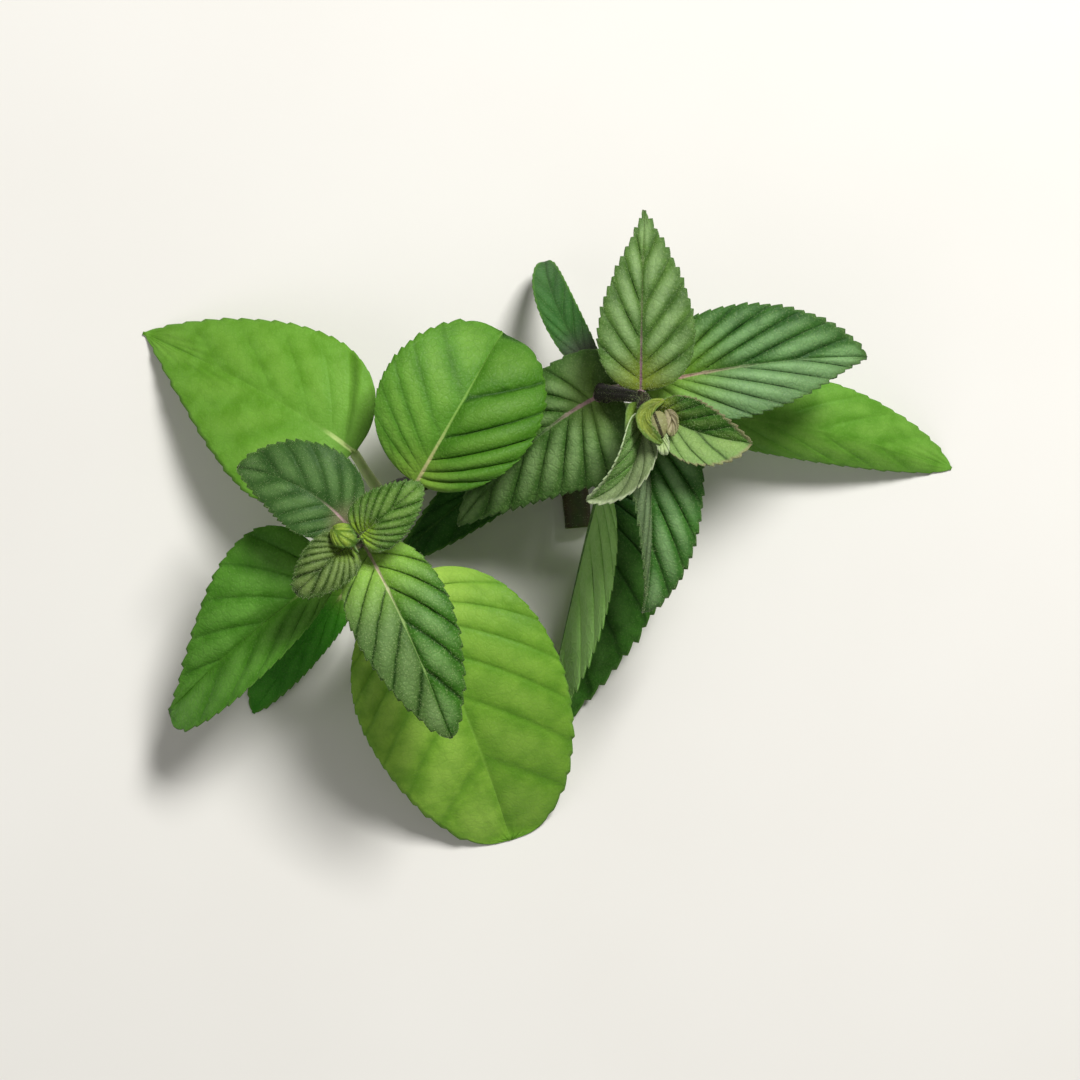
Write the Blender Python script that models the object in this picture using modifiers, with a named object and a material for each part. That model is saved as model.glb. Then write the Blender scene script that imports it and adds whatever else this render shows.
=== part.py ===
"""Mint sprig, cut and laid on a table: a forked stem whose two leafy tips turn up.

Lengths in the tables are millimetres and angles are degrees. X runs to the right, Y to the back and Z up.
"""

import bmesh
import bpy
import numpy as np

MM = 0.001

# The whole sprig is moved by this, so that the middle of its outline stands over the origin.
SHIFT = np.array((0.25, 1.9, 0.0))

GAP = 0.3
BLADE_THICKNESS = 0.6
BLADE_COLUMNS = 2
TABLE_SOFTNESS = 0.5
ROUGHNESS = 0.55
WELD = 0.000001

# Two teeth to each side vein. Each leans to the tip, and they fade out at the base and the tip.
TEETH_PER_VEIN = 2
ROWS_PER_TOOTH = 2
TOOTH_TIP = 0.72
TOOTHLESS_BASE = 0.15
TOOTHLESS_TIP = 0.03
BULGE_FULLNESS = 0.8

# The stalk starts thin at the stem, and thins out again where it runs on under the blade.
STALK_START = (0.7, 1.0)
STALK_ALONG_RIB = (0.0, 0.12, 0.28)
STALK_SHARES = (1.0, 0.85, 0.6)
STALK_SIDES = 1
STALK_BURIED = 0.15

# Stem: places that its middle line passes, and half of its thickness there.
MAIN_STEM = [
    ((4.7, -0.3, 1.95), 2.1),
    ((4.3, 4.0, 1.95), 2.1),
    ((3.6, 9.5, 1.95), 2.1),
    ((3.8, 14.0, 3.2), 2.0),
    ((5.6, 17.3, 8.0), 1.8),
]
RIGHT_NODES = [
    ((7.0, 18.3, 13.0), 1.7),
    ((7.7, 19.3, 20.5), 1.6),
    ((8.2, 19.6, 29.0), 1.15),
    ((13.3, 18.6, 37.0), 0.85),
    ((13.7, 16.9, 41.8), 0.75),
]
RIGHT_END = ((14.8, 14.9, 44.1), 0.6)
LEFT_START = [
    ((3.9, 11.8, 2.4), 1.5),
    ((-1.5, 12.2, 1.7), 1.7),
    ((-9.0, 10.6, 1.7), 1.7),
    ((-17.5, 8.0, 3.4), 1.7),
]
LEFT_NODES = [
    ((-23.4, 5.2, 9.5), 1.6),
    ((-24.9, 3.5, 15.0), 1.5),
    ((-26.2, 0.9, 22.3), 1.3),
    ((-28.4, -1.7, 31.0), 1.0),
    ((-28.6, -2.1, 35.8), 0.85),
]
LEFT_END = ((-29.2, -2.0, 38.0), 0.6)
NODE_SWELLING = 0.22
NODE_REACH = 1.3
STEM_STEP = 2.2
STEM_CORNER = 0.55
CORNER_REACH = 1.12
PLANE_SIDE = 0.2
PLANE_DEPTH = 0.01

# Each blade has a rib (base, middle, tip), the widest half on the left and right of it as seen from above
# with the tip ahead, how full its base and how sharp its tip is, and how far each half folds up at the rib
# and bends from there to its margin. node is the place on the stem that it grows from.
LEAVES = {
    "left_leaf_1_right": dict(
        node=LEFT_NODES[4], stalk=0.5, veins=5, tooth=0.35, relief=0.3,
        rib=((-27.1, -1.0, 37.2), (-23.5, 1.7, 39.6), (-18.6, 6.0, 39.8)),
        half=(4.4, 4.4), shape=((0.32, 0.65), (0.32, 0.6)), fold=(18, 18), curl=(-15, -15)),
    "left_leaf_1_front": dict(
        node=LEFT_NODES[4], stalk=0.5, veins=5, tooth=0.35, relief=0.3,
        rib=((-30.5, -3.9, 37.2), (-32.8, -6.2, 38.8), (-37.0, -10.0, 37.8)),
        half=(4.1, 4.1), shape=((0.3, 0.6), (0.3, 0.6)), fold=(18, 18), curl=(-15, -15)),
    "left_leaf_2_back": dict(
        node=LEFT_NODES[3], stalk=0.7, veins=5, tooth=0.4, relief=0.35,
        rib=((-30.5, 0.6, 32.3), (-36.5, 5.5, 34.6), (-46.2, 8.5, 30.5)),
        half=(6.2, 7.4), shape=((0.5, 0.8), (0.5, 0.8)), fold=(12, 12), curl=(-25, -25)),
    "left_leaf_2_front": dict(
        node=LEFT_NODES[3], stalk=0.8, veins=6, tooth=0.45, relief=0.4,
        rib=((-26.3, -4.4, 32.3), (-20.8, -15.5, 35.8), (-14.5, -31.6, 31.0)),
        half=(7.7, 7.5), shape=((0.5, 0.75), (0.5, 0.75)), fold=(12, 12), curl=(-25, -25)),
    "left_leaf_3_back": dict(
        node=LEFT_NODES[2], stalk=0.9, veins=6, tooth=0.4, relief=0.4,
        rib=((-19.8, 6.4, 25.0), (-13.7, 16.9, 29.0), (-7.0, 29.0, 24.0)),
        half=(12.4, 12.1), shape=((0.5, 0.5), (0.55, 0.42)), fold=(10, 10), curl=(-22, -25)),
    "left_leaf_3_front": dict(
        node=LEFT_NODES[2], stalk=0.9, veins=6, tooth=0.4, relief=0.4,
        rib=((-32.3, -7.0, 22.0), (-44.5, -16.0, 21.0), (-58.6, -28.6, 11.0)),
        half=(8.3, 12.3), shape=((0.6, 0.36), (0.45, 1.25)), fold=(42, 8), curl=(0, -20)),
    "left_leaf_4_back": dict(
        node=LEFT_NODES[1], stalk=1.0, veins=6, tooth=0.3, relief=0.35,
        rib=((-30.0, 11.4, 16.0), (-44.0, 20.5, 14.0), (-64.0, 30.4, -1.0)),
        half=(14.8, 12.8), shape=((0.5, 1.1), (0.45, 0.9)), fold=(5, 5), curl=(-20, -20)),
    "left_leaf_4_front": dict(
        node=LEFT_NODES[1], stalk=1.0, veins=7, tooth=0.35, relief=0.45,
        rib=((-23.0, -9.0, 14.0), (-14.0, -25.8, 15.5), (-6.0, -49.6, -1.0)),
        half=(16.6, 15.7), shape=((0.5, 0.5), (0.5, 0.5)), fold=(10, 5), curl=(-18, -18)),
    "left_leaf_5_front": dict(
        node=LEFT_NODES[0], stalk=0.9, veins=6, tooth=0.3, relief=0.35,
        rib=((-30.0, -8.6, 8.5), (-38.0, -18.0, 7.0), (-46.6, -29.6, -1.0)),
        half=(3.6, 7.0), shape=((0.5, 0.7), (0.5, 0.7)), fold=(8, 8), curl=(-20, -20)),
    "right_leaf_1_right": dict(
        node=RIGHT_NODES[4], stalk=0.5, veins=5, tooth=0.35, relief=0.35,
        rib=((16.9, 15.9, 41.7), (21.4, 13.4, 42.8), (29.2, 11.7, 43.8)),
        half=(5.4, 5.4), shape=((0.45, 0.75), (0.75, 0.7)), fold=(46, 34), curl=(-15, -15)),
    "right_leaf_1_front": dict(
        node=RIGHT_NODES[4], stalk=0.5, veins=4, tooth=0.3, relief=0.25,
        rib=((12.4, 14.0, 42.3), (11.7, 8.0, 41.5), (5.4, 3.5, 40.0)),
        half=(3.8, 4.8), shape=((0.5, 0.7), (0.5, 0.7)), fold=(50, 48), curl=(-15, 20)),
    "right_leaf_2_back": dict(
        node=RIGHT_NODES[3], stalk=0.7, veins=6, tooth=0.45, relief=0.45,
        rib=((13.5, 21.2, 37.8), (13.5, 33.0, 39.0), (14.0, 46.2, 34.0)),
        half=(6.5, 7.9), shape=((0.5, 1.3), (0.45, 1.1)), fold=(14, 14), curl=(-20, -20)),
    "right_leaf_2_front": dict(
        node=RIGHT_NODES[3], stalk=0.7, veins=6, tooth=0.45, relief=0.45,
        rib=((14.6, 14.2, 36.4), (15.0, 0.5, 35.5), (14.0, -13.0, 29.0)),
        half=(7.9, 5.0), shape=((0.25, 0.9), (0.4, 1.2)), fold=(14, 60), curl=(-20, -20)),
    "right_leaf_3_right": dict(
        node=RIGHT_NODES[2], stalk=0.9, veins=7, tooth=0.45, relief=0.5,
        rib=((20.0, 22.0, 31.0), (33.0, 24.0, 32.0), (47.5, 25.0, 26.0)),
        half=(9.2, 7.6), shape=((0.5, 0.7), (0.5, 1.1)), fold=(12, 12), curl=(-20, -20)),
    "right_leaf_3_left": dict(
        node=RIGHT_NODES[2], stalk=0.9, veins=7, tooth=0.45, relief=0.5,
        rib=((4.1, 17.3, 26.75), (-3.3, 11.8, 23.4), (-14.0, 0.0, 12.0)),
        half=(11.8, 9.0), shape=((0.28, 0.95), (0.32, 0.8)), fold=(12, -14), curl=(-20, -15)),
    "right_leaf_4_back": dict(
        node=RIGHT_NODES[1], stalk=0.9, veins=6, tooth=0.4, relief=0.35,
        rib=((7.0, 27.3, 22.0), (1.8, 32.0, 17.5), (-0.6, 41.2, 4.0)),
        half=(3.0, 3.0), shape=((0.35, 0.4), (0.35, 0.4)), fold=(20, 20), curl=(-10, -10)),
    "right_leaf_4_front": dict(
        node=RIGHT_NODES[1], stalk=1.0, veins=7, tooth=0.5, relief=0.4,
        rib=((8.4, 7.0, 18.0), (4.8, -7.0, 12.5), (-0.8, -32.2, -0.5)),
        half=(14.6, 12.0), shape=((0.42, 0.7), (0.75, 0.8)), fold=(-4, 116), curl=(-15, 0)),
    "right_leaf_5_right": dict(
        node=RIGHT_NODES[0], stalk=1.0, veins=7, tooth=0.25, relief=0.3,
        rib=((19.5, 17.5, 14.0), (41.0, 14.8, 11.5), (63.6, 9.0, -1.0)),
        half=(8.0, 6.0), shape=((0.5, 0.7), (0.5, 0.7)), fold=(6, -25), curl=(-20, -20)),
    "right_leaf_5_left": dict(
        node=RIGHT_NODES[0], stalk=0.9, veins=7, tooth=0.3, relief=0.35,
        rib=((2.2, 14.8, 10.8), (-10.6, 6.0, 8.0), (-25.4, -6.4, -1.0)),
        half=(5.4, 5.2), shape=((0.5, 0.7), (0.5, 1.1)), fold=(6, 6), curl=(-20, -20)),
}

# How the leaf's inside runs: side veins leave the rib well before the place where they reach the margin.
VEIN_SPREAD = 0.15
VEIN_LAG = 2.0
VEIN_LEAN = 0.5
LEAST_HALF = 0.3
LEAST_CURL = 0.1

# Buds: a small core with tiny leaves that close over it or stand round it. Each tiny leaf has its rib's base,
# middle and tip from the bud's middle, its widest half, and its fold and curl.
BUDS = {
    "left_bud": dict(
        centre=(-29.6, -1.8, 39.7), core=(1.4, 1.3, 1.3),
        leaves=[
            dict(rib=((-1.6, 1.0, -0.9), (-0.8, 0.4, 1.2), (1.4, -0.9, 0.9)), half=1.8, fold=-12, curl=-30),
            dict(rib=((1.0, -0.7, -1.1), (1.3, -0.9, -0.5), (1.2, -0.8, 0.3)), half=1.4, fold=-20, curl=-35),
        ]),
    "right_bud": dict(
        centre=(15.6, 14.2, 45.3), core=(1.3, 1.6, 1.2),
        leaves=[
            dict(rib=((-1.5, 1.8, -0.6), (-1.9, 0.1, 0.2), (-0.2, -1.8, 0.7)), half=1.5, fold=38, curl=30),
            dict(rib=((0.4, 2.0, -0.6), (1.2, 0.5, 0.5), (1.3, -1.4, 0.7)), half=1.5, fold=42, curl=30),
            dict(rib=((0.6, -0.8, -0.9), (1.0, -2.3, -0.2), (1.2, -3.9, -0.4)), half=0.9, fold=32, curl=0),
        ]),
}
BUD_SEGMENTS = 8
BUD_RINGS = 6
BUD_LEAF = dict(veins=3, tooth=0.0, relief=0.15, shape=((0.5, 0.5), (0.5, 0.5)))

COLOURS = {
    "stem": (0.10, 0.06, 0.035),
    "bud": (0.27, 0.38, 0.05),
    "young leaf": (0.11, 0.20, 0.045),
    "upper leaf": (0.07, 0.20, 0.04),
    "lower leaf": (0.14, 0.36, 0.05),
}
LEAF_COLOURS = {"1": "young leaf", "2": "young leaf", "3": "upper leaf", "4": "lower leaf", "5": "lower leaf"}


def unit(vectors):
    return vectors / np.linalg.norm(vectors, axis=-1, keepdims=True)


def rib_frame(leaf, t):
    """The place on the rib at t, and the unit vectors to the right and up out of the blade there.

    The rib is a parabola that passes its middle at t = 0.5.
    """
    base, middle, tip = (np.array(point, float) for point in leaf["rib"])
    pull = 2 * middle - 0.5 * (base + tip)
    t = t[..., None]
    place = (1 - t) ** 2 * base + 2 * t * (1 - t) * pull + t ** 2 * tip
    ahead = unit(2 * (1 - t) * (pull - base) + 2 * t * (tip - pull))
    level = unit(np.cross(tip - base, (0.0, 0.0, 1.0)))
    right = unit(level - (ahead @ level)[..., None] * ahead)
    return place, right, np.cross(right, ahead)


def outline(shape, q):
    """Half width at q, as a share of the widest: q to one power times (1 - q) to another."""
    full, sharp = shape
    peak = full / (full + sharp)
    return q ** full * (1 - q) ** sharp / (peak ** full * (1 - peak) ** sharp)


def blade_points(leaf, q, v):
    """Points of a blade's middle surface.

    q runs from base to tip, v from -1 at the left margin to 1 at the right. Each half is an arc across the
    rib, that starts at its fold and turns by its curl over its widest half. Lines of constant q follow the
    side veins. The surface bulges between veins and its margin is toothed.
    """
    on_right = v > 0
    w = np.abs(v)

    def side(name):
        return np.where(on_right, leaf[name][1], leaf[name][0])

    half = side("half")
    left_shape, right_shape = leaf["shape"]
    tooth = (q * TEETH_PER_VEIN * leaf["veins"]) % 1
    saw = np.where(tooth < TOOTH_TIP, tooth / TOOTH_TIP, (1 - tooth) / (1 - TOOTH_TIP)) - 0.5
    saw = saw * np.clip(q / TOOTHLESS_BASE, 0, 1) * np.clip((1 - q) / TOOTHLESS_TIP, 0, 1)
    share = np.where(on_right, outline(right_shape, q), outline(left_shape, q))
    width = np.maximum(half * share + leaf["tooth"] * saw, LEAST_HALF)
    start = q * (VEIN_SPREAD + (1 - VEIN_SPREAD) * q ** VEIN_LAG)
    along = start + (q - start) * (VEIN_LEAN * w + (1 - VEIN_LEAN) * w * w)
    place, right, up = rib_frame(leaf, along)
    fold = np.radians(side("fold"))
    bend = np.radians(side("curl") + LEAST_CURL) / half
    out = (np.sin(fold + bend * width * w) - np.sin(fold)) / bend
    rise = (np.cos(fold) - np.cos(fold + bend * width * w)) / bend
    lengthwise = np.abs(np.sin(np.pi * q * leaf["veins"])) ** BULGE_FULLNESS
    bulge = lengthwise * np.sin(np.pi * w ** BULGE_FULLNESS)
    points = place + right * (np.sign(v) * out)[..., None] + up * (rise + leaf["relief"] * bulge)[..., None]
    return laid_on_table(points)


def laid_on_table(points):
    """What would sink into the table lies on it: a smooth maximum of its height and half the thickness."""
    over = points[..., 2] - BLADE_THICKNESS / 2
    points[..., 2] = BLADE_THICKNESS / 2 + 0.5 * (over + np.sqrt(over ** 2 + TABLE_SOFTNESS ** 2))
    return points


def new_material(name, colour):
    material = bpy.data.materials.new(name)
    material.use_nodes = True
    shader = material.node_tree.nodes["Principled BSDF"]
    shader.inputs["Base Color"].default_value = (*colour, 1.0)
    shader.inputs["Roughness"].default_value = ROUGHNESS
    shader.inputs["Metallic"].default_value = 0.0
    return material


def new_object(name, data, collection):
    thing = bpy.data.objects.new(name, data)
    collection.objects.link(thing)
    return thing


def evaluated_mesh(thing):
    """A new mesh of the object as it stands, with its modifiers, and with a curve's caps welded on."""
    graph = bpy.context.evaluated_depsgraph_get()
    mesh = bpy.data.meshes.new_from_object(thing.evaluated_get(graph))
    shape = bmesh.new()
    shape.from_mesh(mesh)
    bmesh.ops.remove_doubles(shape, verts=shape.verts, dist=WELD)
    shape.to_mesh(mesh)
    shape.free()
    return mesh


def baked(name, thing, collection):
    """The object made a plain mesh under this name. The object that it was made from is removed."""
    solid = new_object(name, evaluated_mesh(thing), collection)
    bpy.data.objects.remove(thing)
    return solid


def fused(name, first, others, collection):
    """First and the others joined by a Boolean union into one closed body."""
    joined = bpy.data.collections.new("joined")
    collection.children.link(joined)
    for other in others:
        collection.objects.unlink(other)
        joined.objects.link(other)
    union = first.modifiers.new("union", "BOOLEAN")
    union.operation = "UNION"
    union.operand_type = "COLLECTION"
    union.collection = joined
    union.solver = "MANIFOLD"
    solid = baked(name, first, collection)
    for other in others:
        bpy.data.objects.remove(other)
    bpy.data.collections.remove(joined)
    return solid


def blade(name, leaf, collection, columns):
    """A grid shaped by the blade's formula, given its thickness. Its rows are the teeth's tips and gaps."""
    teeth = TEETH_PER_VEIN * leaf["veins"]
    rows = ROWS_PER_TOOTH * teeth
    shape = bmesh.new()
    bmesh.ops.create_grid(shape, x_segments=rows, y_segments=2 * columns, size=1.0)
    bmesh.ops.triangulate(shape, faces=shape.faces)
    mesh = bpy.data.meshes.new(name)
    shape.to_mesh(mesh)
    shape.free()
    flat = np.empty(3 * len(mesh.vertices))
    mesh.vertices.foreach_get("co", flat)
    flat = flat.reshape(-1, 3)
    row = np.rint((flat[:, 0] + 1) / 2 * rows)
    q = (row // ROWS_PER_TOOTH + TOOTH_TIP * (row % ROWS_PER_TOOTH)) / teeth
    points = blade_points(leaf, q, flat[:, 1]) * MM
    mesh.vertices.foreach_set("co", points.ravel())
    mesh.update()
    thing = new_object(name + "_sheet", mesh, collection)
    sheet = thing.modifiers.new("thickness", "SOLIDIFY")
    sheet.thickness = BLADE_THICKNESS * MM
    sheet.offset = 0.0
    return baked(name + "_blade", thing, collection)


def smooth_route(places, step):
    """Points about a step apart on a smooth curve (Catmull-Rom) that passes every place."""
    places = np.array(places, float)
    ends = np.vstack([2 * places[0] - places[1], places, 2 * places[-1] - places[-2]])
    found = []
    for a, b, c, d in zip(ends, ends[1:], ends[2:], ends[3:]):
        count = max(1, round(float(np.linalg.norm((c - b)[:3])) / step))
        for t in np.arange(count) / count:
            found.append(0.5 * (2 * b + (c - a) * t + (2 * a - 5 * b + 4 * c - d) * t ** 2
                                + (3 * b - a - 3 * c + d) * t ** 3))
    return np.array(found + [places[-1]])


def new_curve(name, route, thickness):
    """A curve of straight pieces along the route, with its thickness as each point's radius."""
    curve = bpy.data.curves.new(name, "CURVE")
    curve.dimensions = "3D"
    curve.use_fill_caps = True
    curve.twist_mode = "MINIMUM"
    line = curve.splines.new("POLY")
    line.points.add(len(route) - 1)
    for point, place, radius in zip(line.points, route, thickness):
        point.co = (*(place * MM), 1.0)
        point.radius = radius
    return curve


def stalk(name, leaf, collection):
    """The leaf's stalk, which runs on under the blade as its rib and thins out there."""
    node, stem_half = np.array(leaf["node"][0]), leaf["node"][1]
    base = np.array(leaf["rib"][0], float)
    away = (base - node) / np.linalg.norm(base - node)
    start = node + away * (stem_half * (1 + NODE_SWELLING) * CORNER_REACH + GAP + 0.5 * leaf["stalk"])
    place, _, up = rib_frame(leaf, np.array(STALK_ALONG_RIB))
    sunk = leaf["stalk"] * np.array(STALK_SHARES) - STALK_BURIED
    under = laid_on_table(place - up * sunk[:, None])
    route = np.vstack([start, (start + under[0]) / 2, under])
    thickness = leaf["stalk"] * np.array(STALK_START + STALK_SHARES)
    curve = new_curve(name, route, thickness)
    curve.bevel_depth = MM
    curve.bevel_resolution = STALK_SIDES
    return baked(name + "_stalk", new_object(name + "_line", curve, collection), collection)


def leaf_object(name, leaf, collection):
    sheet = blade(name, leaf, collection, BLADE_COLUMNS)
    return fused(name, sheet, [stalk(name, leaf, collection)], collection)


def stem_outline(collection):
    """A square with cut corners, one unit from its middle to its sides."""
    curve = bpy.data.curves.new("stem_outline", "CURVE")
    curve.dimensions = "2D"
    line = curve.splines.new("POLY")
    corners = [(1, -STEM_CORNER), (STEM_CORNER, -1), (-STEM_CORNER, -1), (-1, -STEM_CORNER),
               (-1, STEM_CORNER), (-STEM_CORNER, 1), (STEM_CORNER, 1), (1, STEM_CORNER)]
    line.points.add(len(corners) - 1)
    line.use_cyclic_u = True
    for point, (x, y) in zip(line.points, corners):
        point.co = (x * MM, y * MM, 0.0, 1.0)
    return new_object("stem_outline", curve, collection)


def stem_branch(name, stations, nodes, profile, collection):
    """A square branch through the stations, swollen at the leaf nodes."""
    rows = smooth_route([(*place, half) for place, half in stations], STEM_STEP)
    route, half = rows[:, :3], rows[:, 3]
    for place, _ in nodes:
        distance = np.linalg.norm(route - np.array(place), axis=1)
        half = half * (1 + NODE_SWELLING * np.exp(-(distance / NODE_REACH) ** 2))
    curve = new_curve(name, route, half)
    curve.bevel_mode = "OBJECT"
    curve.bevel_object = profile
    return baked(name, new_object(name + "_line", curve, collection), collection)


def stem_object(collection):
    """Main stem and right branch in one run, the left branch grown into it, and the underside planed flat."""
    profile = stem_outline(collection)
    right_run = [*MAIN_STEM, *RIGHT_NODES, RIGHT_END]
    left_run = [*LEFT_START, *LEFT_NODES, LEFT_END]
    right = stem_branch("right_branch", right_run, RIGHT_NODES, profile, collection)
    left = stem_branch("left_branch", left_run, LEFT_NODES, profile, collection)
    bpy.data.objects.remove(profile)
    whole = fused("whole_stem", right, [left], collection)
    bpy.ops.mesh.primitive_cube_add(size=1.0, location=(0.0, 0.0, -PLANE_DEPTH / 2))
    under = bpy.context.object
    under.name = "under_table"
    under.scale = (PLANE_SIDE, PLANE_SIDE, PLANE_DEPTH)
    bpy.context.view_layer.update()
    cut = whole.modifiers.new("flat", "BOOLEAN")
    cut.operation = "DIFFERENCE"
    cut.object = under
    cut.solver = "MANIFOLD"
    stem = baked("stem", whole, collection)
    bpy.data.objects.remove(under)
    return stem


def bud_object(name, bud, collection):
    """A small core with its tiny leaves. Both halves of a tiny leaf are alike."""
    shape = bmesh.new()
    bmesh.ops.create_uvsphere(shape, u_segments=BUD_SEGMENTS, v_segments=BUD_RINGS, radius=MM)
    mesh = bpy.data.meshes.new(name)
    shape.to_mesh(mesh)
    shape.free()
    points = np.empty(3 * len(mesh.vertices))
    mesh.vertices.foreach_get("co", points)
    centre = np.array(bud["centre"])
    points = points.reshape(-1, 3) * bud["core"] + centre * MM
    mesh.vertices.foreach_set("co", points.ravel())
    core = new_object(name + "_core", mesh, collection)
    tiny = []
    for i, small in enumerate(bud["leaves"]):
        rib = tuple(tuple(centre + np.array(point)) for point in small["rib"])
        alike = {key: (small[key], small[key]) for key in ("half", "fold", "curl")}
        tiny.append(blade(f"{name}_{i}", dict(BUD_LEAF, rib=rib, **alike), collection, 1))
    return fused(name, core, tiny, collection)


def main():
    for thing in list(bpy.data.objects):
        bpy.data.objects.remove(thing)
    sprig = bpy.data.collections.new("mint_sprig")
    bpy.context.scene.collection.children.link(sprig)
    materials = {name: new_material(name, colour) for name, colour in COLOURS.items()}
    made = {stem_object(sprig): "stem"}
    for name, leaf in LEAVES.items():
        made[leaf_object(name, leaf, sprig)] = LEAF_COLOURS[name.split("_")[2]]
    for name, bud in BUDS.items():
        made[bud_object(name, bud, sprig)] = "bud"
    for thing, colour in made.items():
        thing.data.materials.clear()
        thing.data.materials.append(materials[colour])
        thing.location = SHIFT * MM


main()
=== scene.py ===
"""Looks of a cut mint sprig: two leafy shoots on one forked stem, lying on a pale table.

Every leaf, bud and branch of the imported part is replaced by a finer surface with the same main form.
Lengths in the tables are millimetres and angles are degrees. X runs to the right, Y to the back, Z up.
"""

import bpy
import numpy as np
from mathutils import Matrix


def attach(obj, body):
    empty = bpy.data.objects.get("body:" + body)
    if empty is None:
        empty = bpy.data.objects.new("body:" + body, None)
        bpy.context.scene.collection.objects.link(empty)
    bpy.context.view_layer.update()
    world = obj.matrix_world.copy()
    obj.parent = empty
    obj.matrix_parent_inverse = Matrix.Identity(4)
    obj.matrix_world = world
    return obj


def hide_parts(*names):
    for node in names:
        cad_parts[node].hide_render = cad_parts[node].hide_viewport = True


MM = 0.001
SHIFT = np.array((0.25, 1.9, 0.0))
SEED = 41

# Blades: thickness at the rib and how much of it the margin loses, and how fine their grids are.
BLADE_THICKNESS = 0.3
MARGIN_THINNING = 0.45
ROWS_PER_TOOTH = 8
COLUMNS = 30
COLUMN_CROWDING = 1.25
TABLE_SOFTNESS = 0.5

# Three teeth to each side vein, where the solids have two, so each is shallower. They lean to the tip, and
# fade out at the base and the tip.
TEETH_PER_VEIN = 3
TOOTH_SHARE = 0.8
TOOTH_FORWARD = 0.9
TOOTH_TIP = 0.75
TOOTH_ROUNDNESS = 1.3
TOOTH_SIZES = (0.65, 1.25)
TOOTHLESS_BASE = 0.12
TOOTHLESS_TIP = 0.04
TOOTH_DEPTH_POWER = 9

# How the inside runs: side veins leave the rib well before the place where they reach the margin.
VEIN_SPREAD = 0.15
VEIN_LAG = 2.0
VEIN_LEAN = 0.85
VEIN_CROWDING = 1.3
VALLEY_SOFTNESS = 0.07
RIB_SLOPE = 0.14
MARGIN_FLATNESS = 0.6
LEAST_HALF = 0.3
LEAST_CURL = 0.1
PLEAT_FULLNESS = 0.75
VEIN_GROOVE = 0.1
GROOVE_WIDTH = 0.13
MARGIN_POWER = 4
PUCKER = 0.035
PUCKER_SCALES = (6, 1.8)
PUCKER_START = 4
RUFFLE = 0.16
RUFFLE_SCALES = (1.1, 1.5)
RUFFLE_POWER = 3
WAVES = 9
LOBE_RANGE = (0.3, 0.2)
HEART_REACH = 0.13
RIB_BASE = 0.24
RIB_TIP = 0.1
RIB_RIDGE = 0.08

# Stalks, as shares of the leaf's stalk radius. A leaf's materials are its upper side, underside and stalk.
STALK_MATERIAL = 2
STALK_SIDES = 14
STALK_START = (1.1, 0.8)
STALK_ALONG_RIB = (0.0, 0.12, 0.28, 0.5, 0.75, 0.93)
STALK_SHARES = (0.75, 0.62, 0.5, 0.38, 0.26, 0.13)
STALK_BURIED = 0.06
STALK_BURIED_AT_TIP = 0.3
STALK_INSIDE_STEM = 0.8
STALK_STEP = 0.7

# Stem: places that its middle line passes, and half of its thickness there.
MAIN_STEM = [
    ((4.7, -0.3, 1.95), 2.1),
    ((4.3, 4.0, 1.95), 2.1),
    ((3.6, 9.5, 1.95), 2.1),
    ((3.8, 14.0, 3.2), 2.0),
    ((5.6, 17.3, 8.0), 1.8),
]
RIGHT_NODES = [
    ((7.0, 18.3, 13.0), 1.7),
    ((7.7, 19.3, 20.5), 1.6),
    ((8.2, 19.6, 29.0), 1.15),
    ((13.3, 18.6, 37.0), 0.85),
    ((13.7, 16.9, 41.8), 0.75),
]
RIGHT_END = ((14.8, 14.9, 44.1), 0.6)
LEFT_START = [
    ((3.9, 11.8, 2.4), 1.5),
    ((-1.5, 12.2, 1.7), 1.7),
    ((-9.0, 10.6, 1.7), 1.7),
    ((-17.5, 8.0, 3.4), 1.7),
]
LEFT_NODES = [
    ((-23.4, 5.2, 9.5), 1.6),
    ((-24.9, 3.5, 15.0), 1.5),
    ((-26.2, 0.9, 22.3), 1.3),
    ((-28.4, -1.7, 31.0), 1.0),
    ((-28.6, -2.1, 35.8), 0.85),
]
LEFT_END = ((-29.2, -2.0, 38.0), 0.6)
NODE_SWELLING = 0.22
NODE_REACH = 1.3
STEM_STEP = 0.4
STEM_SIDES = 48
STEM_SQUARENESS = 3.4
SIDE_HOLLOW = 0.05
HOLLOW_POWER = 8
SKIN_RIDGES = 16
SKIN_RIDGE = 0.012
SKIN_LUMP = 0.02
LUMP_SCALES = (0.9, 2)
CORNER_POWER = 3
NODE_TINT_REACH = 2.2
TIP_TINT_HEIGHTS = (22.0, 30.0)

# Rings of the hollowed cut end, from its rim inwards: shares of the stem's reach, and millimetres outwards.
CUT_SHARES = np.array((0.94, 0.82, 0.6, 0.35, 0.12))
CUT_DEPTHS = np.array((0.05, 0.0, -0.12, -0.2, -0.22))

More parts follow.
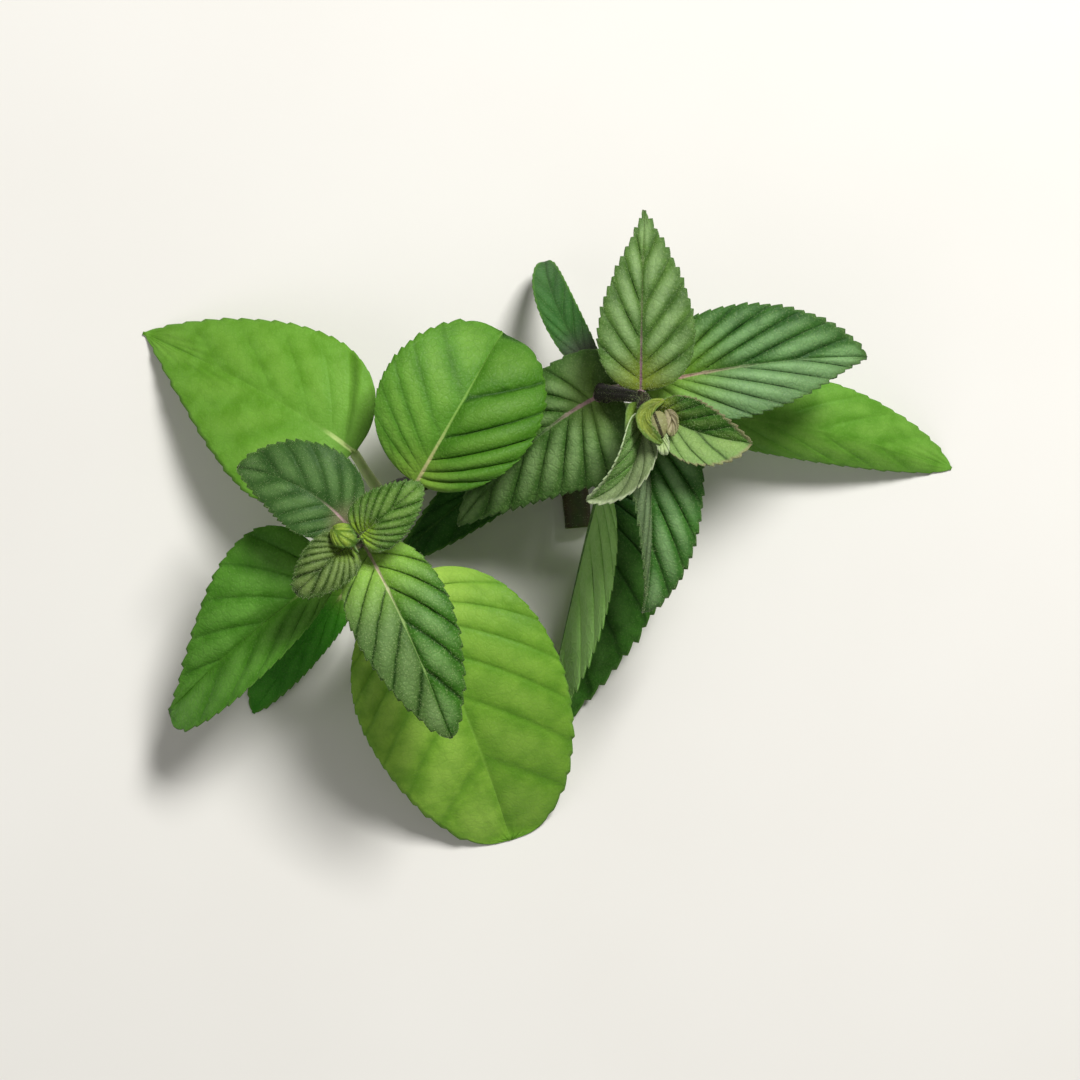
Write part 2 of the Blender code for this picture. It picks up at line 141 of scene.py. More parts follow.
# Each blade has a rib (base, middle, tip), the widest half on the left and right of it as seen from above
# with the tip ahead, how full its base and how sharp its tip is, and how far each half folds up at the rib
# and bends from there to its margin. The pairs are numbered from the tip. Some have a lag, which sets their
# side veins steeper to the rib, a lobe, which is how high the right half's base is lifted, or a heart, which
# is the share of its length that the margin starts behind the foot.
LEAVES = {
    "left_leaf_1_right": dict(
        stalk=0.5, veins=7, tooth=0.35, relief=0.3,
        rib=((-27.1, -1.0, 37.2), (-23.5, 1.7, 39.6), (-18.6, 6.0, 39.8)),
        half=(4.4, 4.4), shape=((0.32, 0.65), (0.32, 0.6)), fold=(22, 22), curl=(-30, -30), lag=5),
    "left_leaf_1_front": dict(
        stalk=0.5, veins=7, tooth=0.35, relief=0.3,
        rib=((-30.5, -3.9, 37.2), (-32.8, -6.2, 38.8), (-37.0, -10.0, 37.8)),
        half=(4.1, 4.1), shape=((0.3, 0.6), (0.3, 0.6)), fold=(22, 22), curl=(-30, -30), lag=5),
    "left_leaf_2_back": dict(
        stalk=0.7, veins=6, tooth=0.4, relief=0.35,
        rib=((-30.5, 0.6, 32.3), (-36.5, 5.5, 34.6), (-46.2, 8.5, 30.5)),
        half=(6.2, 7.4), shape=((0.5, 0.8), (0.5, 0.8)), fold=(12, 12), curl=(-25, -25)),
    "left_leaf_2_front": dict(
        stalk=0.8, veins=6, tooth=0.45, relief=0.4,
        rib=((-26.3, -4.4, 32.3), (-20.8, -15.5, 35.8), (-14.5, -31.6, 31.0)),
        half=(7.7, 7.5), shape=((0.5, 0.75), (0.5, 0.75)), fold=(12, 12), curl=(-25, -25)),
    "left_leaf_3_back": dict(
        stalk=0.9, veins=6, tooth=0.4, relief=0.4,
        rib=((-19.8, 6.4, 25.0), (-13.7, 16.9, 29.0), (-7.0, 29.0, 24.0)),
        half=(12.4, 12.1), shape=((0.5, 0.5), (0.55, 0.42)), fold=(10, 10), curl=(-22, -25), lag=3.5),
    "left_leaf_3_front": dict(
        stalk=0.9, veins=6, tooth=0.4, relief=0.4,
        rib=((-32.3, -7.0, 22.0), (-44.5, -16.0, 21.0), (-58.6, -28.6, 11.0)),
        half=(8.3, 12.3), shape=((0.6, 0.36), (0.45, 1.25)), fold=(42, 8), curl=(0, -20)),
    "left_leaf_4_back": dict(
        stalk=1.0, veins=6, tooth=0.3, relief=0.35,
        rib=((-30.0, 11.4, 16.0), (-44.0, 20.5, 14.0), (-64.0, 30.4, -1.0)),
        half=(14.8, 12.8), shape=((0.5, 1.1), (0.45, 0.9)), fold=(5, 5), curl=(-20, -20), lobe=1.8),
    "left_leaf_4_front": dict(
        stalk=1.0, veins=7, tooth=0.35, relief=0.45,
        rib=((-23.0, -9.0, 14.0), (-14.0, -25.8, 15.5), (-6.0, -49.6, -1.0)),
        half=(16.6, 15.7), shape=((0.5, 0.5), (0.5, 0.5)), fold=(10, 5), curl=(-18, -18)),
    "left_leaf_5_front": dict(
        stalk=0.9, veins=6, tooth=0.3, relief=0.35,
        rib=((-30.0, -8.6, 8.5), (-38.0, -18.0, 7.0), (-46.6, -29.6, -1.0)),
        half=(3.6, 7.0), shape=((0.5, 0.7), (0.5, 0.7)), fold=(8, 8), curl=(-20, -20)),
    "right_leaf_1_right": dict(
        stalk=0.5, veins=5, tooth=0.35, relief=0.35,
        rib=((16.9, 15.9, 41.7), (21.4, 13.4, 42.8), (29.2, 11.7, 43.8)),
        half=(5.4, 5.4), shape=((0.45, 0.75), (0.75, 0.7)), fold=(46, 34), curl=(-15, -15), lag=4),
    "right_leaf_1_front": dict(
        stalk=0.5, veins=4, tooth=0.3, relief=0.25,
        rib=((12.4, 14.0, 42.3), (11.7, 8.0, 41.5), (5.4, 3.5, 40.0)),
        half=(3.8, 4.8), shape=((0.35, 0.7), (0.35, 0.7)), fold=(50, 48), curl=(-15, 20), lag=4),
    "right_leaf_2_back": dict(
        stalk=0.7, veins=6, tooth=0.45, relief=0.45,
        rib=((13.5, 21.2, 37.8), (13.5, 33.0, 39.0), (14.0, 46.2, 34.0)),
        half=(6.5, 7.9), shape=((0.5, 1.3), (0.45, 1.1)), fold=(14, 14), curl=(-20, -20)),
    "right_leaf_2_front": dict(
        stalk=0.7, veins=6, tooth=0.45, relief=0.45,
        rib=((14.6, 14.2, 36.4), (15.0, 0.5, 35.5), (14.0, -13.0, 29.0)),
        half=(7.9, 5.0), shape=((0.25, 0.68), (0.2, 1.2)), fold=(14, 60), curl=(-20, -20), lag=3,
        heart=0.015),
    "right_leaf_3_right": dict(
        stalk=0.9, veins=7, tooth=0.45, relief=0.5,
        rib=((20.0, 22.0, 31.0), (33.0, 24.0, 32.0), (47.5, 25.0, 26.0)),
        half=(9.2, 7.6), shape=((0.5, 0.9), (0.5, 1.15)), fold=(12, 12), curl=(-20, -20), lag=4),
    "right_leaf_3_left": dict(
        stalk=0.9, veins=7, tooth=0.45, relief=0.5,
        rib=((4.1, 17.3, 26.75), (-3.3, 11.8, 23.4), (-14.0, 0.0, 12.0)),
        half=(12.4, 8.2), shape=((0.14, 0.9), (0.16, 0.8)), fold=(12, -14), curl=(-20, -15), heart=0.16),
    "right_leaf_4_back": dict(
        stalk=0.9, veins=6, tooth=0.15, relief=0.15,
        rib=((7.0, 27.3, 22.0), (1.8, 32.0, 17.5), (-0.6, 41.2, 4.0)),
        half=(3.0, 3.0), shape=((0.35, 0.4), (0.35, 0.4)), fold=(20, 20), curl=(-10, -10)),
    "right_leaf_4_front": dict(
        stalk=1.0, veins=7, tooth=0.8, relief=0.4,
        rib=((8.4, 7.0, 18.0), (4.8, -7.0, 12.5), (-0.8, -32.2, -0.5)),
        half=(14.6, 12.0), shape=((0.42, 0.7), (0.75, 0.8)), fold=(-4, 116), curl=(-15, 0)),
    "right_leaf_5_right": dict(
        stalk=1.0, veins=7, tooth=0.25, relief=0.3,
        rib=((19.5, 17.5, 14.0), (41.0, 14.8, 11.5), (63.6, 9.0, -1.0)),
        half=(8.0, 6.0), shape=((0.5, 0.7), (0.5, 0.7)), fold=(6, -25), curl=(-20, -20)),
    "right_leaf_5_left": dict(
        stalk=0.9, veins=7, tooth=0.3, relief=0.35,
        rib=((2.2, 14.8, 10.8), (-10.6, 6.0, 8.0), (-25.4, -6.4, -1.0)),
        half=(5.4, 5.2), shape=((0.5, 0.7), (0.5, 1.1)), fold=(6, 6), curl=(-20, -20)),
}

# Buds: a small core with tiny leaves that close over it or stand round it. Each tiny leaf has its rib's
# base, middle and tip from the bud's middle, its widest half, its fold and curl, and the finish that it
# takes. A dark slit of painted shade runs over the core, lengthwise with a lean.
BUDS = {
    "left_bud": dict(
        centre=(-29.6, -1.8, 39.7), core=(1.4, 1.3, 1.3),
        leaves=[
            dict(rib=((-1.9, 1.2, -0.9), (-0.9, 0.5, 1.4), (1.6, -1.0, 1.0)), half=2.1, fold=-12, curl=-30,
                 finish="bud_green"),
            dict(rib=((1.0, -0.7, -1.1), (1.3, -0.9, -0.5), (1.2, -0.8, 0.3)), half=1.4, fold=-20, curl=-35,
                 finish="bud_green"),
        ]),
    "right_bud": dict(
        centre=(15.6, 14.2, 45.3), core=(1.55, 2.1, 1.3),
        leaves=[
            dict(rib=((0.9, 3.7, -1.4), (-2.1, 0.9, 0.1), (0.5, -2.6, 0.7)), half=1.35, fold=20, curl=25,
                 finish="bud_olive"),
            dict(rib=((1.3, 2.2, -0.9), (2.0, 0.4, 0.1), (1.7, -1.5, 0.4)), half=1.2, fold=25, curl=30,
                 finish="bud_brown"),
            dict(rib=((0.3, -0.8, -0.9), (0.6, -2.4, -0.1), (1.0, -4.2, -0.4)), half=1.1, fold=32, curl=0,
                 finish="bud_pale"),
        ]),
}
BUD_LEAF = dict(veins=6, tooth=0.12, relief=0.2, shape=((0.5, 0.5), (0.5, 0.5)), stalk=0.35, lag=8)
BUD_COLUMNS = 12
SLIT_LEAN = 0.35
SLIT_HALF = 0.22

# The solids keep the blades' feet well clear of the stem. These finer blades start nearer to their node,
# by this share of the way.
FOOT_NEARER = {
    "left_leaf_1_right": 0.4, "left_leaf_1_front": 0.4,
    "left_leaf_2_back": 0.45, "left_leaf_2_front": 0.45,
    "right_leaf_1_right": 0.5, "right_leaf_1_front": 0.75,
    "right_leaf_2_back": 0.6, "right_leaf_2_front": 0.75,
    "right_leaf_3_right": 0.5, "right_leaf_3_left": 0.75, "right_leaf_4_back": 0.6,
}

# Leaf finishes, sRGB. greens are the blade's own two, then the painted highlight on the tops of its pleats,
# the painted shade in the valleys of its side veins and the tint round its foot. rib is the midrib at its
# foot and further on, rim the margin. foot_reach and rib_reach are shares of the leaf's length, and rib_end
# is how much of the midrib's colour is left past its reach. sparkle is how strongly the hairs' and glands'
# glints are painted in as pale dots, grain how rough the skin is, pleats how strongly the left and right
# halves are pleated, and tints what colours them and how much: partly their own colour, partly painted light
# and shade on a half that faces the light or turns from it. kind picks the underside and stalk.
YOUNG = dict(
    greens="385A1A 527828 86A450 12240A A4C834", kind="young", rib=("7A7A4A", "2E4A18"), rim="4A6A2E",
    foot_reach=0.5, rib_reach=0.35, rib_end=0.15, valley_shade_strength=0.95, crest_highlight_strength=0.85,
    sparkle=0.16, grain=0.5, pleats=(1.5, 1.5))
GREY = dict(
    greens="38561F 4C6C2C 7E9A62 28401A 7A9A28", kind="grey", rib=("8E6E78", "5A6E44"), rim="4E6C38",
    foot_reach=0.28, rib_reach=0.45, rib_end=0.3, valley_shade_strength=0.5, crest_highlight_strength=0.75, sparkle=0.1,
    grain=0.5, pleats=(1.1, 1.1))
RICH = dict(
    greens="3C6A16 4C7C24 6C963A 22480A 7CA03A", kind="rich", rib=("C0B884", "84A850"), rim="507E28",
    foot_reach=0.3, rib_reach=0.9, rib_end=0.3, valley_shade_strength=0.65, crest_highlight_strength=0.6, sparkle=0.06,
    grain=0.4, pleats=(1.0, 1.0))
LIGHT = dict(
    greens="628E28 7AA436 92B64C 4A7A1A A4C654", kind="light", rib=("B4C87C", "74A040"), rim="5C8830",
    foot_reach=0.4, rib_reach=0.7, rib_end=0.25, valley_shade_strength=0.55, crest_highlight_strength=0.55, sparkle=0.04,
    grain=0.25, pleats=(0.7, 0.7))
FINISHES = {
    "left_leaf_1_right": dict(YOUNG, greens="385A1A 466A24 6C8C42 12240A A4C834", foot_reach=0.36),
    "left_leaf_1_front": dict(YOUNG, greens="2E4416 445A26 6E8446 16200C 7EA02A", foot_reach=0.4),
    "left_leaf_2_back": dict(
        YOUNG, greens="28481A 365624 54743E 243E18 8A8264", rib=("B8949A", "4E6A34"), foot_reach=0.26,
        valley_shade_strength=0.35, sparkle=0.06, grain=0.3, pleats=(0.5, 0.5)),
    "left_leaf_2_front": dict(
        YOUNG, greens="2A560C 38661A 6E9252 183606 8CB844", rib=("C8B0A0", "94B068"), rib_reach=0.8,
        rib_end=0.5, pleats=(1.7, 1.1), half_tints_and_shade=(("2E6814", 0.1), ("5E7044", 0.45))),
    # Its tints pale the left half and darken the right, as painted light and shade where the halves tilt
    # towards and away from the light.
    "left_leaf_3_back": dict(
        RICH, valley_shade_strength=0.95, crest_highlight_strength=0.85, pleats=(0.3, 2.4),
        half_tints_and_shade=(("5A8A2A", 0.3), ("386410", 0.5))),
    "left_leaf_3_front": dict(
        RICH, greens="3A6C14 4A7C24 5E9036 26500E 568028", rib_reach=0.3, rib_end=0.05,
        valley_shade_strength=0.3, pleats=(0.6, 1.0)),
    "left_leaf_4_back": dict(
        LIGHT, greens="548420 629230 6E9A38 4A7C1C 6A983A", rib_reach=0.2, rib_end=0.05,
        valley_shade_strength=0.15, pleats=(0.3, 0.35)),
    # Its left half's darker tint is a painted shadow of the leaf above it.
    "left_leaf_4_front": dict(LIGHT, pleats=(0.75, 0.75), half_tints_and_shade=(("4A7A1C", 0.35), ("7AA436", 0.0))),
    # Its greens are darker as painted shade, where it lies under the leaves above.
    "left_leaf_5_front": dict(
        RICH, greens="2C7010 387C1A 448824 246008 7CA03A", rib_reach=0.2, rib_end=0.0,
        valley_shade_strength=0.2, pleats=(0.4, 0.4)),
    # Its tints darken the left half and pale the right, as painted shade and light on the two sides of its
    # fold.
    "right_leaf_1_right": dict(
        GREY, greens="2E5416 3E6622 6E8A44 28401A 8E9A2A", rim="84745C", foot_reach=0.4,
        valley_shade_strength=0.8, half_tints_and_shade=(("2E5A18", 0.3), ("88A460", 0.55))),
    "right_leaf_1_front": dict(
        GREY, greens="446828 567A36 84A464 2C4820 84944A", rib=("5E4C36", "5E4C36"), rim="BECAA4",
        rib_reach=0.9, rib_end=0.6, half_tints_and_shade=(("827C6C", 0.4), ("5E8A40", 0.2))),
    "right_leaf_2_back": dict(
        GREY, greens="38561F 4C6C2C 7E9A62 28401A 6E7A24", rib=("7A5468", "5E5E46"), rib_reach=0.8,
        rib_end=0.35, pleats=(0.85, 0.85)),
    "right_leaf_2_front": dict(
        GREY, greens="2A521A 366222 7EA06A 28401A 7A9A28", rib=("74745E", "628048"), rib_end=0.1,
        pleats=(1.4, 1.0), half_tints_and_shade=(("3E7A2A", 0.1), ("5E6450", 0.55))),
    # Its right half's pale tint is painted light on its lit half.
    "right_leaf_3_right": dict(
        GREY, greens="264A1A 365E24 749A62 1E3A1A 6E9428", rib=("A8807C", "749060"), foot_reach=0.4,
        rib_reach=0.6, half_tints_and_shade=(("365E24", 0.0), ("86A874", 0.35))),
    "right_leaf_3_left": dict(
        GREY, greens="34561E 48682E 7A985E 203A12 64803A", rib=("A07E82", "628450"), rib_reach=0.5,
        pleats=(1.2, 1.2)),
    "right_leaf_4_back": dict(
        RICH, greens="2A5420 325C24 44703A 244A1A 5E4E58", kind="purple", rib=("6E5C66", "526E40"),
        foot_reach=0.42, rib_reach=0.2, rib_end=0.1, valley_shade_strength=0.1, pleats=(0.4, 0.4)),
    # Its near-black foot tint and rib are painted shade in the deep valley of its fold.
    "right_leaf_4_front": dict(
        RICH, greens="2A5612 3A6C20 5C8E3E 1C3E0C 0A3004", kind="folded", rib=("14300C", "28541A"),
        foot_reach=0.75, rib_end=0.1, crest_highlight_strength=0.5, pleats=(1.2, 2.2)),
    "right_leaf_5_right": dict(
        LIGHT, greens="4E8020 609030 6E9A3C 44741C 56802C", kind="folded", rib_reach=0.3, rib_end=0.1,
        valley_shade_strength=0.2, pleats=(0.4, 0.4)),
    # Its greens are all darkened as painted shadow, where it lies under the left branch and the leaves
    # above.
    "right_leaf_5_left": dict(
        RICH, greens="1A440C 245214 305E1E 143808 1E4410", rib_reach=0.3, rib_end=0.1,
        valley_shade_strength=0.3, pleats=(0.7, 0.7)),
    "bud_green": dict(
        YOUNG, greens="42601A 5C7A24 8CA43A 2A400E 748E22", foot_reach=0.2, rib_end=0.0,
        valley_shade_strength=0.5, pleats=(0.8, 0.8)),
    "bud_olive": dict(
        YOUNG, greens="4C5C1E 66762A 8E9A44 36441A 6A7A26", foot_reach=0.2, rib_end=0.0,
        valley_shade_strength=0.2, crest_highlight_strength=0.5, pleats=(0.4, 0.4)),
    # Its near-black rib colour is painted shade, in the slit of the core and in the crease of its folded
    # tiny leaf.
    "bud_brown": dict(
        YOUNG, greens="4A4428 6A6444 968E70 3A3220 5E6030", rib=("1E180E", "1E180E"), rim="8A8A60",
        foot_reach=0.1, rib_end=1.0, valley_shade_strength=0.2, crest_highlight_strength=0.9, pleats=(0.5, 0.5)),
    "bud_pale": dict(YOUNG, greens="587838 7A9852 B4C48C 3A5424 5A7A28", rim="BCC8A0", foot_reach=0.2),
}

# What the undersides and stalks of each kind of leaf take: the blade, its net of veins, its side veins and
# midrib, and the stalk's two colours.
KINDS = {
    "young": dict(under="6E8850", net="849C62", vein="98A470", stalk=("826268", "6C7E40")),
    "grey": dict(under="748C5E", net="8AA276", vein="A29C88", stalk=("7A5662", "748258")),
    "rich": dict(under="749A48", net="8AAC5C", vein="A0BA74", stalk=("A0846E", "94AA5C")),
    "light": dict(under="82AA4C", net="96BA5E", vein="ACC87A", stalk=("A8B47C", "94B45C")),
    "purple": dict(under="587A46", net="6C8C58", vein="7E946C", stalk=("5E4E56", "625A50")),
    # The folded kind's underside, net and veins are brightened as painted light, for a flap too steep to
    # catch much of the lamp.
    "folded": dict(under="7CA854", net="92BC6C", vein="88B25E", stalk=("3E4A24", "3C5A24")),
}
# Halves with no tint and no painted light or shade.
NO_HALF_TINTS = (("5A8040", 0.0), ("5A8040", 0.0))
# Colour of the painted glints of the hairs and scent glands.
PAINTED_GLINT = "BCCE8C"
SMOOTH = dict(interpolation_type="SMOOTHSTEP")

# Fine hairs: their length, its seeded share, how far they lean, their root's radius, which pairs of leaves
# have them, and how many stand on a leaf and on a branch. ASIDE is any direction that no hair points in.
HAIR_LENGTH = 0.3
HAIR_SIZES = (0.6, 1.25)
HAIR_LEAN = 0.45
HAIR_ROOT = 0.018
HAIRY_TIERS = ("1", "2")
HAIRS_ON_LEAF = 1800
HAIRS_ON_RIM = 0.2
HAIRS_ON_STEM = 2600
ASIDE = (0.31, 0.52, 0.79)

# Name, place, side and power of each softbox, in metres and watts, and the camera in millimetres.
SOFTBOXES = [("key_softbox", (0.26, 0.42, 0.72), 0.24, 10.0), ("fill_softbox", (-0.6, -0.3, 0.7), 0.8, 1.8)]
ROOM_LIGHT = 0.22
CAMERA_PLACE = (-1.1, -0.35, 500.0)
CAMERA_LENS = 105.56


def unit(vectors):
    return vectors / np.linalg.norm(vectors, axis=-1, keepdims=True)


def linear(code, alpha=1.0):
    """An sRGB hex colour as the linear colour that a shader takes."""
    share = np.array([int(code[i:i + 2], 16) for i in (0, 2, 4)]) / 255
    value = np.where(share <= 0.04045, share / 12.92, ((share + 0.055) / 1.055) ** 2.4)
    return (*(float(x) for x in value), alpha)


# Shapes

def rib_frame(leaf, t):
    """The place on the rib at t, and the unit vectors to the right and up out of the blade there.

    The rib is a parabola that passes its middle at t = 0.5.
    """
    base, middle, tip = (np.array(point, float) for point in leaf["rib"])
    pull = 2 * middle - 0.5 * (base + tip)
    t = t[..., None]
    place = (1 - t) ** 2 * base + 2 * t * (1 - t) * pull + t ** 2 * tip
    ahead = unit(2 * (1 - t) * (pull - base) + 2 * t * (tip - pull))
    level = unit(np.cross(tip - base, (0.0, 0.0, 1.0)))
    right = unit(level - (ahead @ level)[..., None] * ahead)
    return place, right, np.cross(right, ahead)


def outline(shape, q):
    """Half width at q, as a share of the widest: q to one power times (1 - q) to another."""
    full, sharp = shape
    peak = full / (full + sharp)
    return q ** full * (1 - q) ** sharp / (peak ** full * (1 - peak) ** sharp)


def laid_on_table(points, half_thickness):
    """What would sink into the table lies on it: a smooth maximum of its height and half the thickness."""
    over = points[..., 2] - half_thickness
    points[..., 2] = half_thickness + 0.5 * (over + np.sqrt(over ** 2 + TABLE_SOFTNESS ** 2))
    return points


def wave_noise(u, v, seed):
    """A smooth uneven height of about -1 to 1: sine waves of seeded direction and length, added up."""
    draw = np.random.default_rng(seed)
    turns, sizes, starts = (draw.uniform(low, high, WAVES) for low, high in ((0, np.pi), (0.6, 1.7), (0, 7)))
    total = 0
    for turn, size, start in zip(turns, sizes, starts):
        total = total + np.sin((u * np.cos(turn) + v * np.sin(turn)) * size + start)
    return total / np.sqrt(WAVES)


def saw_teeth(q, on_right, count, seed):
    """Height of the margin's teeth, from 0 in a gap to about 1 at a tip, each of its own seeded size.

    A tooth rises as one power of its length and drops steeply past its tip.
    """
    place = q * count
    tooth = place % 1
    rise = (tooth / TOOTH_TIP).clip(0, 1) ** (1 / TOOTH_ROUNDNESS)
    drop = ((1 - tooth) / (1 - TOOTH_TIP)).clip(0, 1)
    sizes = np.random.default_rng(seed).uniform(*TOOTH_SIZES, (2, count + 1))
    height = np.where(tooth < TOOTH_TIP, rise, drop) * sizes[on_right.astype(int), place.astype(int)]
    return height * np.clip(q / TOOTHLESS_BASE, 0, 1) * np.clip((1 - q) / TOOTHLESS_TIP, 0, 1)


def blade_surface(leaf, pleats, q, v, seed):
    """Points of a blade's middle surface, and what its skin needs to know there.

    q runs from base to tip, v from -1 at the left margin to 1 at the right. Each half is an arc across the
    rib, that starts at its fold and turns by its curl over its widest half. Lines of constant q follow the
    side veins, which lie crowded towards the tip. The surface stands up in a rounded pleat between two
    veins, is grooved along them and puckers a little, and its margin waves and is toothed. A lobe lifts the
    right half's base past a soft crease, and a heart draws the margin back behind the foot, as a bell curve.
    """
    q, v = np.broadcast_arrays(q, v)
    on_right = v > 0
    w = np.abs(v)
    half, fold, curl, pleat = (
        np.where(on_right, pair[1], pair[0]) for pair in (leaf["half"], leaf["fold"], leaf["curl"], pleats))
    left_shape, right_shape = leaf["shape"]
    saw = saw_teeth(q, on_right, TEETH_PER_VEIN * leaf["veins"], seed)
    edge = w ** TOOTH_DEPTH_POWER
    depth = leaf["tooth"] * TOOTH_SHARE
    widest = np.where(on_right, outline(right_shape, q), outline(left_shape, q))
    width = np.maximum(widest * half, LEAST_HALF)
    across = np.maximum(width * w + depth * (saw - 0.5) * edge, 0)
    start = q * (VEIN_SPREAD + (1 - VEIN_SPREAD) * q ** leaf.get("lag", VEIN_LAG))
    along = start + (q - start) * (VEIN_LEAN * w + (1 - VEIN_LEAN) * w * w)
    along = along - leaf.get("heart", 0.0) * w * w * np.exp(-(q / HEART_REACH) ** 2)
    length = float(np.linalg.norm(np.subtract(leaf["rib"][2], leaf["rib"][0])))
    along = along + TOOTH_FORWARD * depth * saw * edge / length
    place, right, up = rib_frame(leaf, along)
    fold = np.radians(fold)
    bend = np.radians(curl + LEAST_CURL) / half
    out = (np.sin(fold + bend * across) - np.sin(fold)) / bend
    rise = (np.cos(fold) - np.cos(fold + bend * across)) / bend
    phase = leaf["veins"] * q ** VEIN_CROWDING
    between = np.sqrt(np.sin(np.pi * phase) ** 2 + VALLEY_SOFTNESS ** 2) - VALLEY_SOFTNESS
    reach = (1 - np.exp(-w / RIB_SLOPE)) * (1 - MARGIN_FLATNESS * w ** MARGIN_POWER)
    crest = between ** PLEAT_FULLNESS * reach
    groove = np.exp(-(between / GROOVE_WIDTH) ** 2) * reach
    ahead, aside = PUCKER_SCALES
    pucker = wave_noise(phase * ahead, v * half * aside, seed) * np.clip(w * PUCKER_START, 0, 1)
    ahead, aside = RUFFLE_SCALES
    ruffle = wave_noise(phase * ahead, v * aside, seed + 1) * w ** RUFFLE_POWER
    rise = rise + pleat * (leaf["relief"] * crest - VEIN_GROOVE * groove) + PUCKER * pucker + RUFFLE * ruffle
    further, nearer = LOBE_RANGE
    lift = ((further - q) / (further - nearer)).clip(0, 1)
    rise = rise + leaf.get("lobe", 0.0) * on_right * np.sqrt(w) * lift * lift * (3 - 2 * lift)
    points = place + right * (np.sign(v) * out)[..., None] + up * rise[..., None]
    rib_half = leaf["stalk"] * (RIB_BASE * (1 - along) + RIB_TIP)
    marks = {
        "phase": phase, "across": np.sign(v) * across, "rib": across / rib_half, "rim": width * (1 - w),
        "crest": crest, "pleat": np.clip(pleat, 0, 1), "length": along,
        "foot": np.hypot(along, across / length),
    }
    return laid_on_table(points, BLADE_THICKNESS / 2), marks


def grid_faces(rows, columns, first=0):
    """Faces of a grid of points, row after row. They face up where the columns run right and rows ahead."""
    corner = first + np.arange(rows - 1)[:, None] * columns + np.arange(columns - 1)
    return np.stack([corner, corner + 1, corner + columns + 1, corner + columns], axis=-1).reshape(-1, 4)


def blade_shell(leaf, pleats, columns, seed, kinds=(0, 1)):
    """A thin closed blade: the middle surface moved half its thickness both ways, with its rim closed.

    The thickness falls towards the margin. Over the rib a low ridge stands on the upper side. kinds are the
    numbers of the materials of the upper and the lower side.
    """
    teeth = TEETH_PER_VEIN * leaf["veins"]
    rising = round(ROWS_PER_TOOTH * TOOTH_TIP)
    falling = ROWS_PER_TOOTH - rising
    steps = np.concatenate([
        np.arange(rising) / rising * TOOTH_TIP,
        TOOTH_TIP + np.arange(falling) / falling * (1 - TOOTH_TIP)])
    q = np.append((np.arange(teeth)[:, None] + steps).ravel(), teeth) / teeth
    side = np.linspace(0, 1, columns + 1) ** COLUMN_CROWDING
    v = np.concatenate([-side[:0:-1], side])
    middle, marks = blade_surface(leaf, pleats, q[:, None], v[None, :], seed)
    right = np.gradient(middle, axis=1)
    ahead = np.gradient(middle, axis=0)
    normal = unit(np.cross(right, ahead))
    w = np.abs(v)[None, :]
    half = BLADE_THICKNESS / 2 * (1 - MARGIN_THINNING * w ** MARGIN_POWER) * np.ones_like(marks["rib"])
    ridge = RIB_RIDGE * leaf["stalk"] * np.exp(-marks["rib"] ** 2) * (1 - q[:, None]) ** 2
    top = middle + normal * (half + ridge)[..., None]
    bottom = middle - normal * half[..., None]
    bottom[..., 2] = np.maximum(bottom[..., 2], 0.0)
    rows, cols = len(q), len(v)
    count = rows * cols
    number = np.arange(count).reshape(rows, cols)
    ring = np.concatenate([number[0, :-1], number[:-1, -1], number[-1, :0:-1], number[:0:-1, 0]])
    next_ring = np.roll(ring, -1)
    rim = np.stack([ring, ring + count, next_ring + count, next_ring], axis=-1)
    upper = grid_faces(rows, cols)
    lower = grid_faces(rows, cols, count)[:, ::-1]
    points = np.concatenate([top.reshape(-1, 3), bottom.reshape(-1, 3)])
    marks = {name: np.tile(values.ravel(), 2) for name, values in marks.items()}
    over, under = kinds
    shell = dict(points=points, faces=[(upper, over), (rim, over), (lower, under)], marks=marks)
    return shell, dict(top=top, bottom=bottom, normal=normal, rim=marks["rim"][:count].reshape(rows, cols))


def smooth_route(places, step):
    """Rows about a step apart on a smooth curve (Catmull-Rom) that passes every place."""
    places = np.array(places, float)
    ends = np.vstack([2 * places[0] - places[1], places, 2 * places[-1] - places[-2]])
    found = []
    for a, b, c, d in zip(ends, ends[1:], ends[2:], ends[3:]):
        count = max(1, round(float(np.linalg.norm((c - b)[:3])) / step))
        t = (np.arange(count) / count)[:, None]
        found.append(0.5 * (2 * b + (c - a) * t + (2 * a - 5 * b + 4 * c - d) * t ** 2
                            + (3 * b - a - 3 * c + d) * t ** 3))
    return np.vstack([*found, places[-1:]])


def wall_faces(number):
    """Faces between neighbouring rings of a closed tube, from the numbers of their points."""
    first, last = number[:-1], number[1:]
    wall = np.stack([first, last, np.roll(last, -1, axis=1), np.roll(first, -1, axis=1)], axis=-1)
    return wall.reshape(-1, 4)


def spokes(right, up, angle):
    """Directions round each point: right times the cosine and up times the sine of each angle."""
    return right[:, None] * np.cos(angle)[:, None] + up[:, None] * np.sin(angle)[:, None]


def carried_frames(route):
    """The unit vectors to the side and up at each point of a route, turned as little as they can be."""
    ahead = unit(np.gradient(route, axis=0))
    side = np.cross(ahead[0], (0.0, 0.0, 1.0))
    sides = []
    for direction in ahead:
        side = unit(side - (side @ direction) * direction)
        sides.append(side)
    sides = np.array(sides)
    return sides, np.cross(sides, ahead)


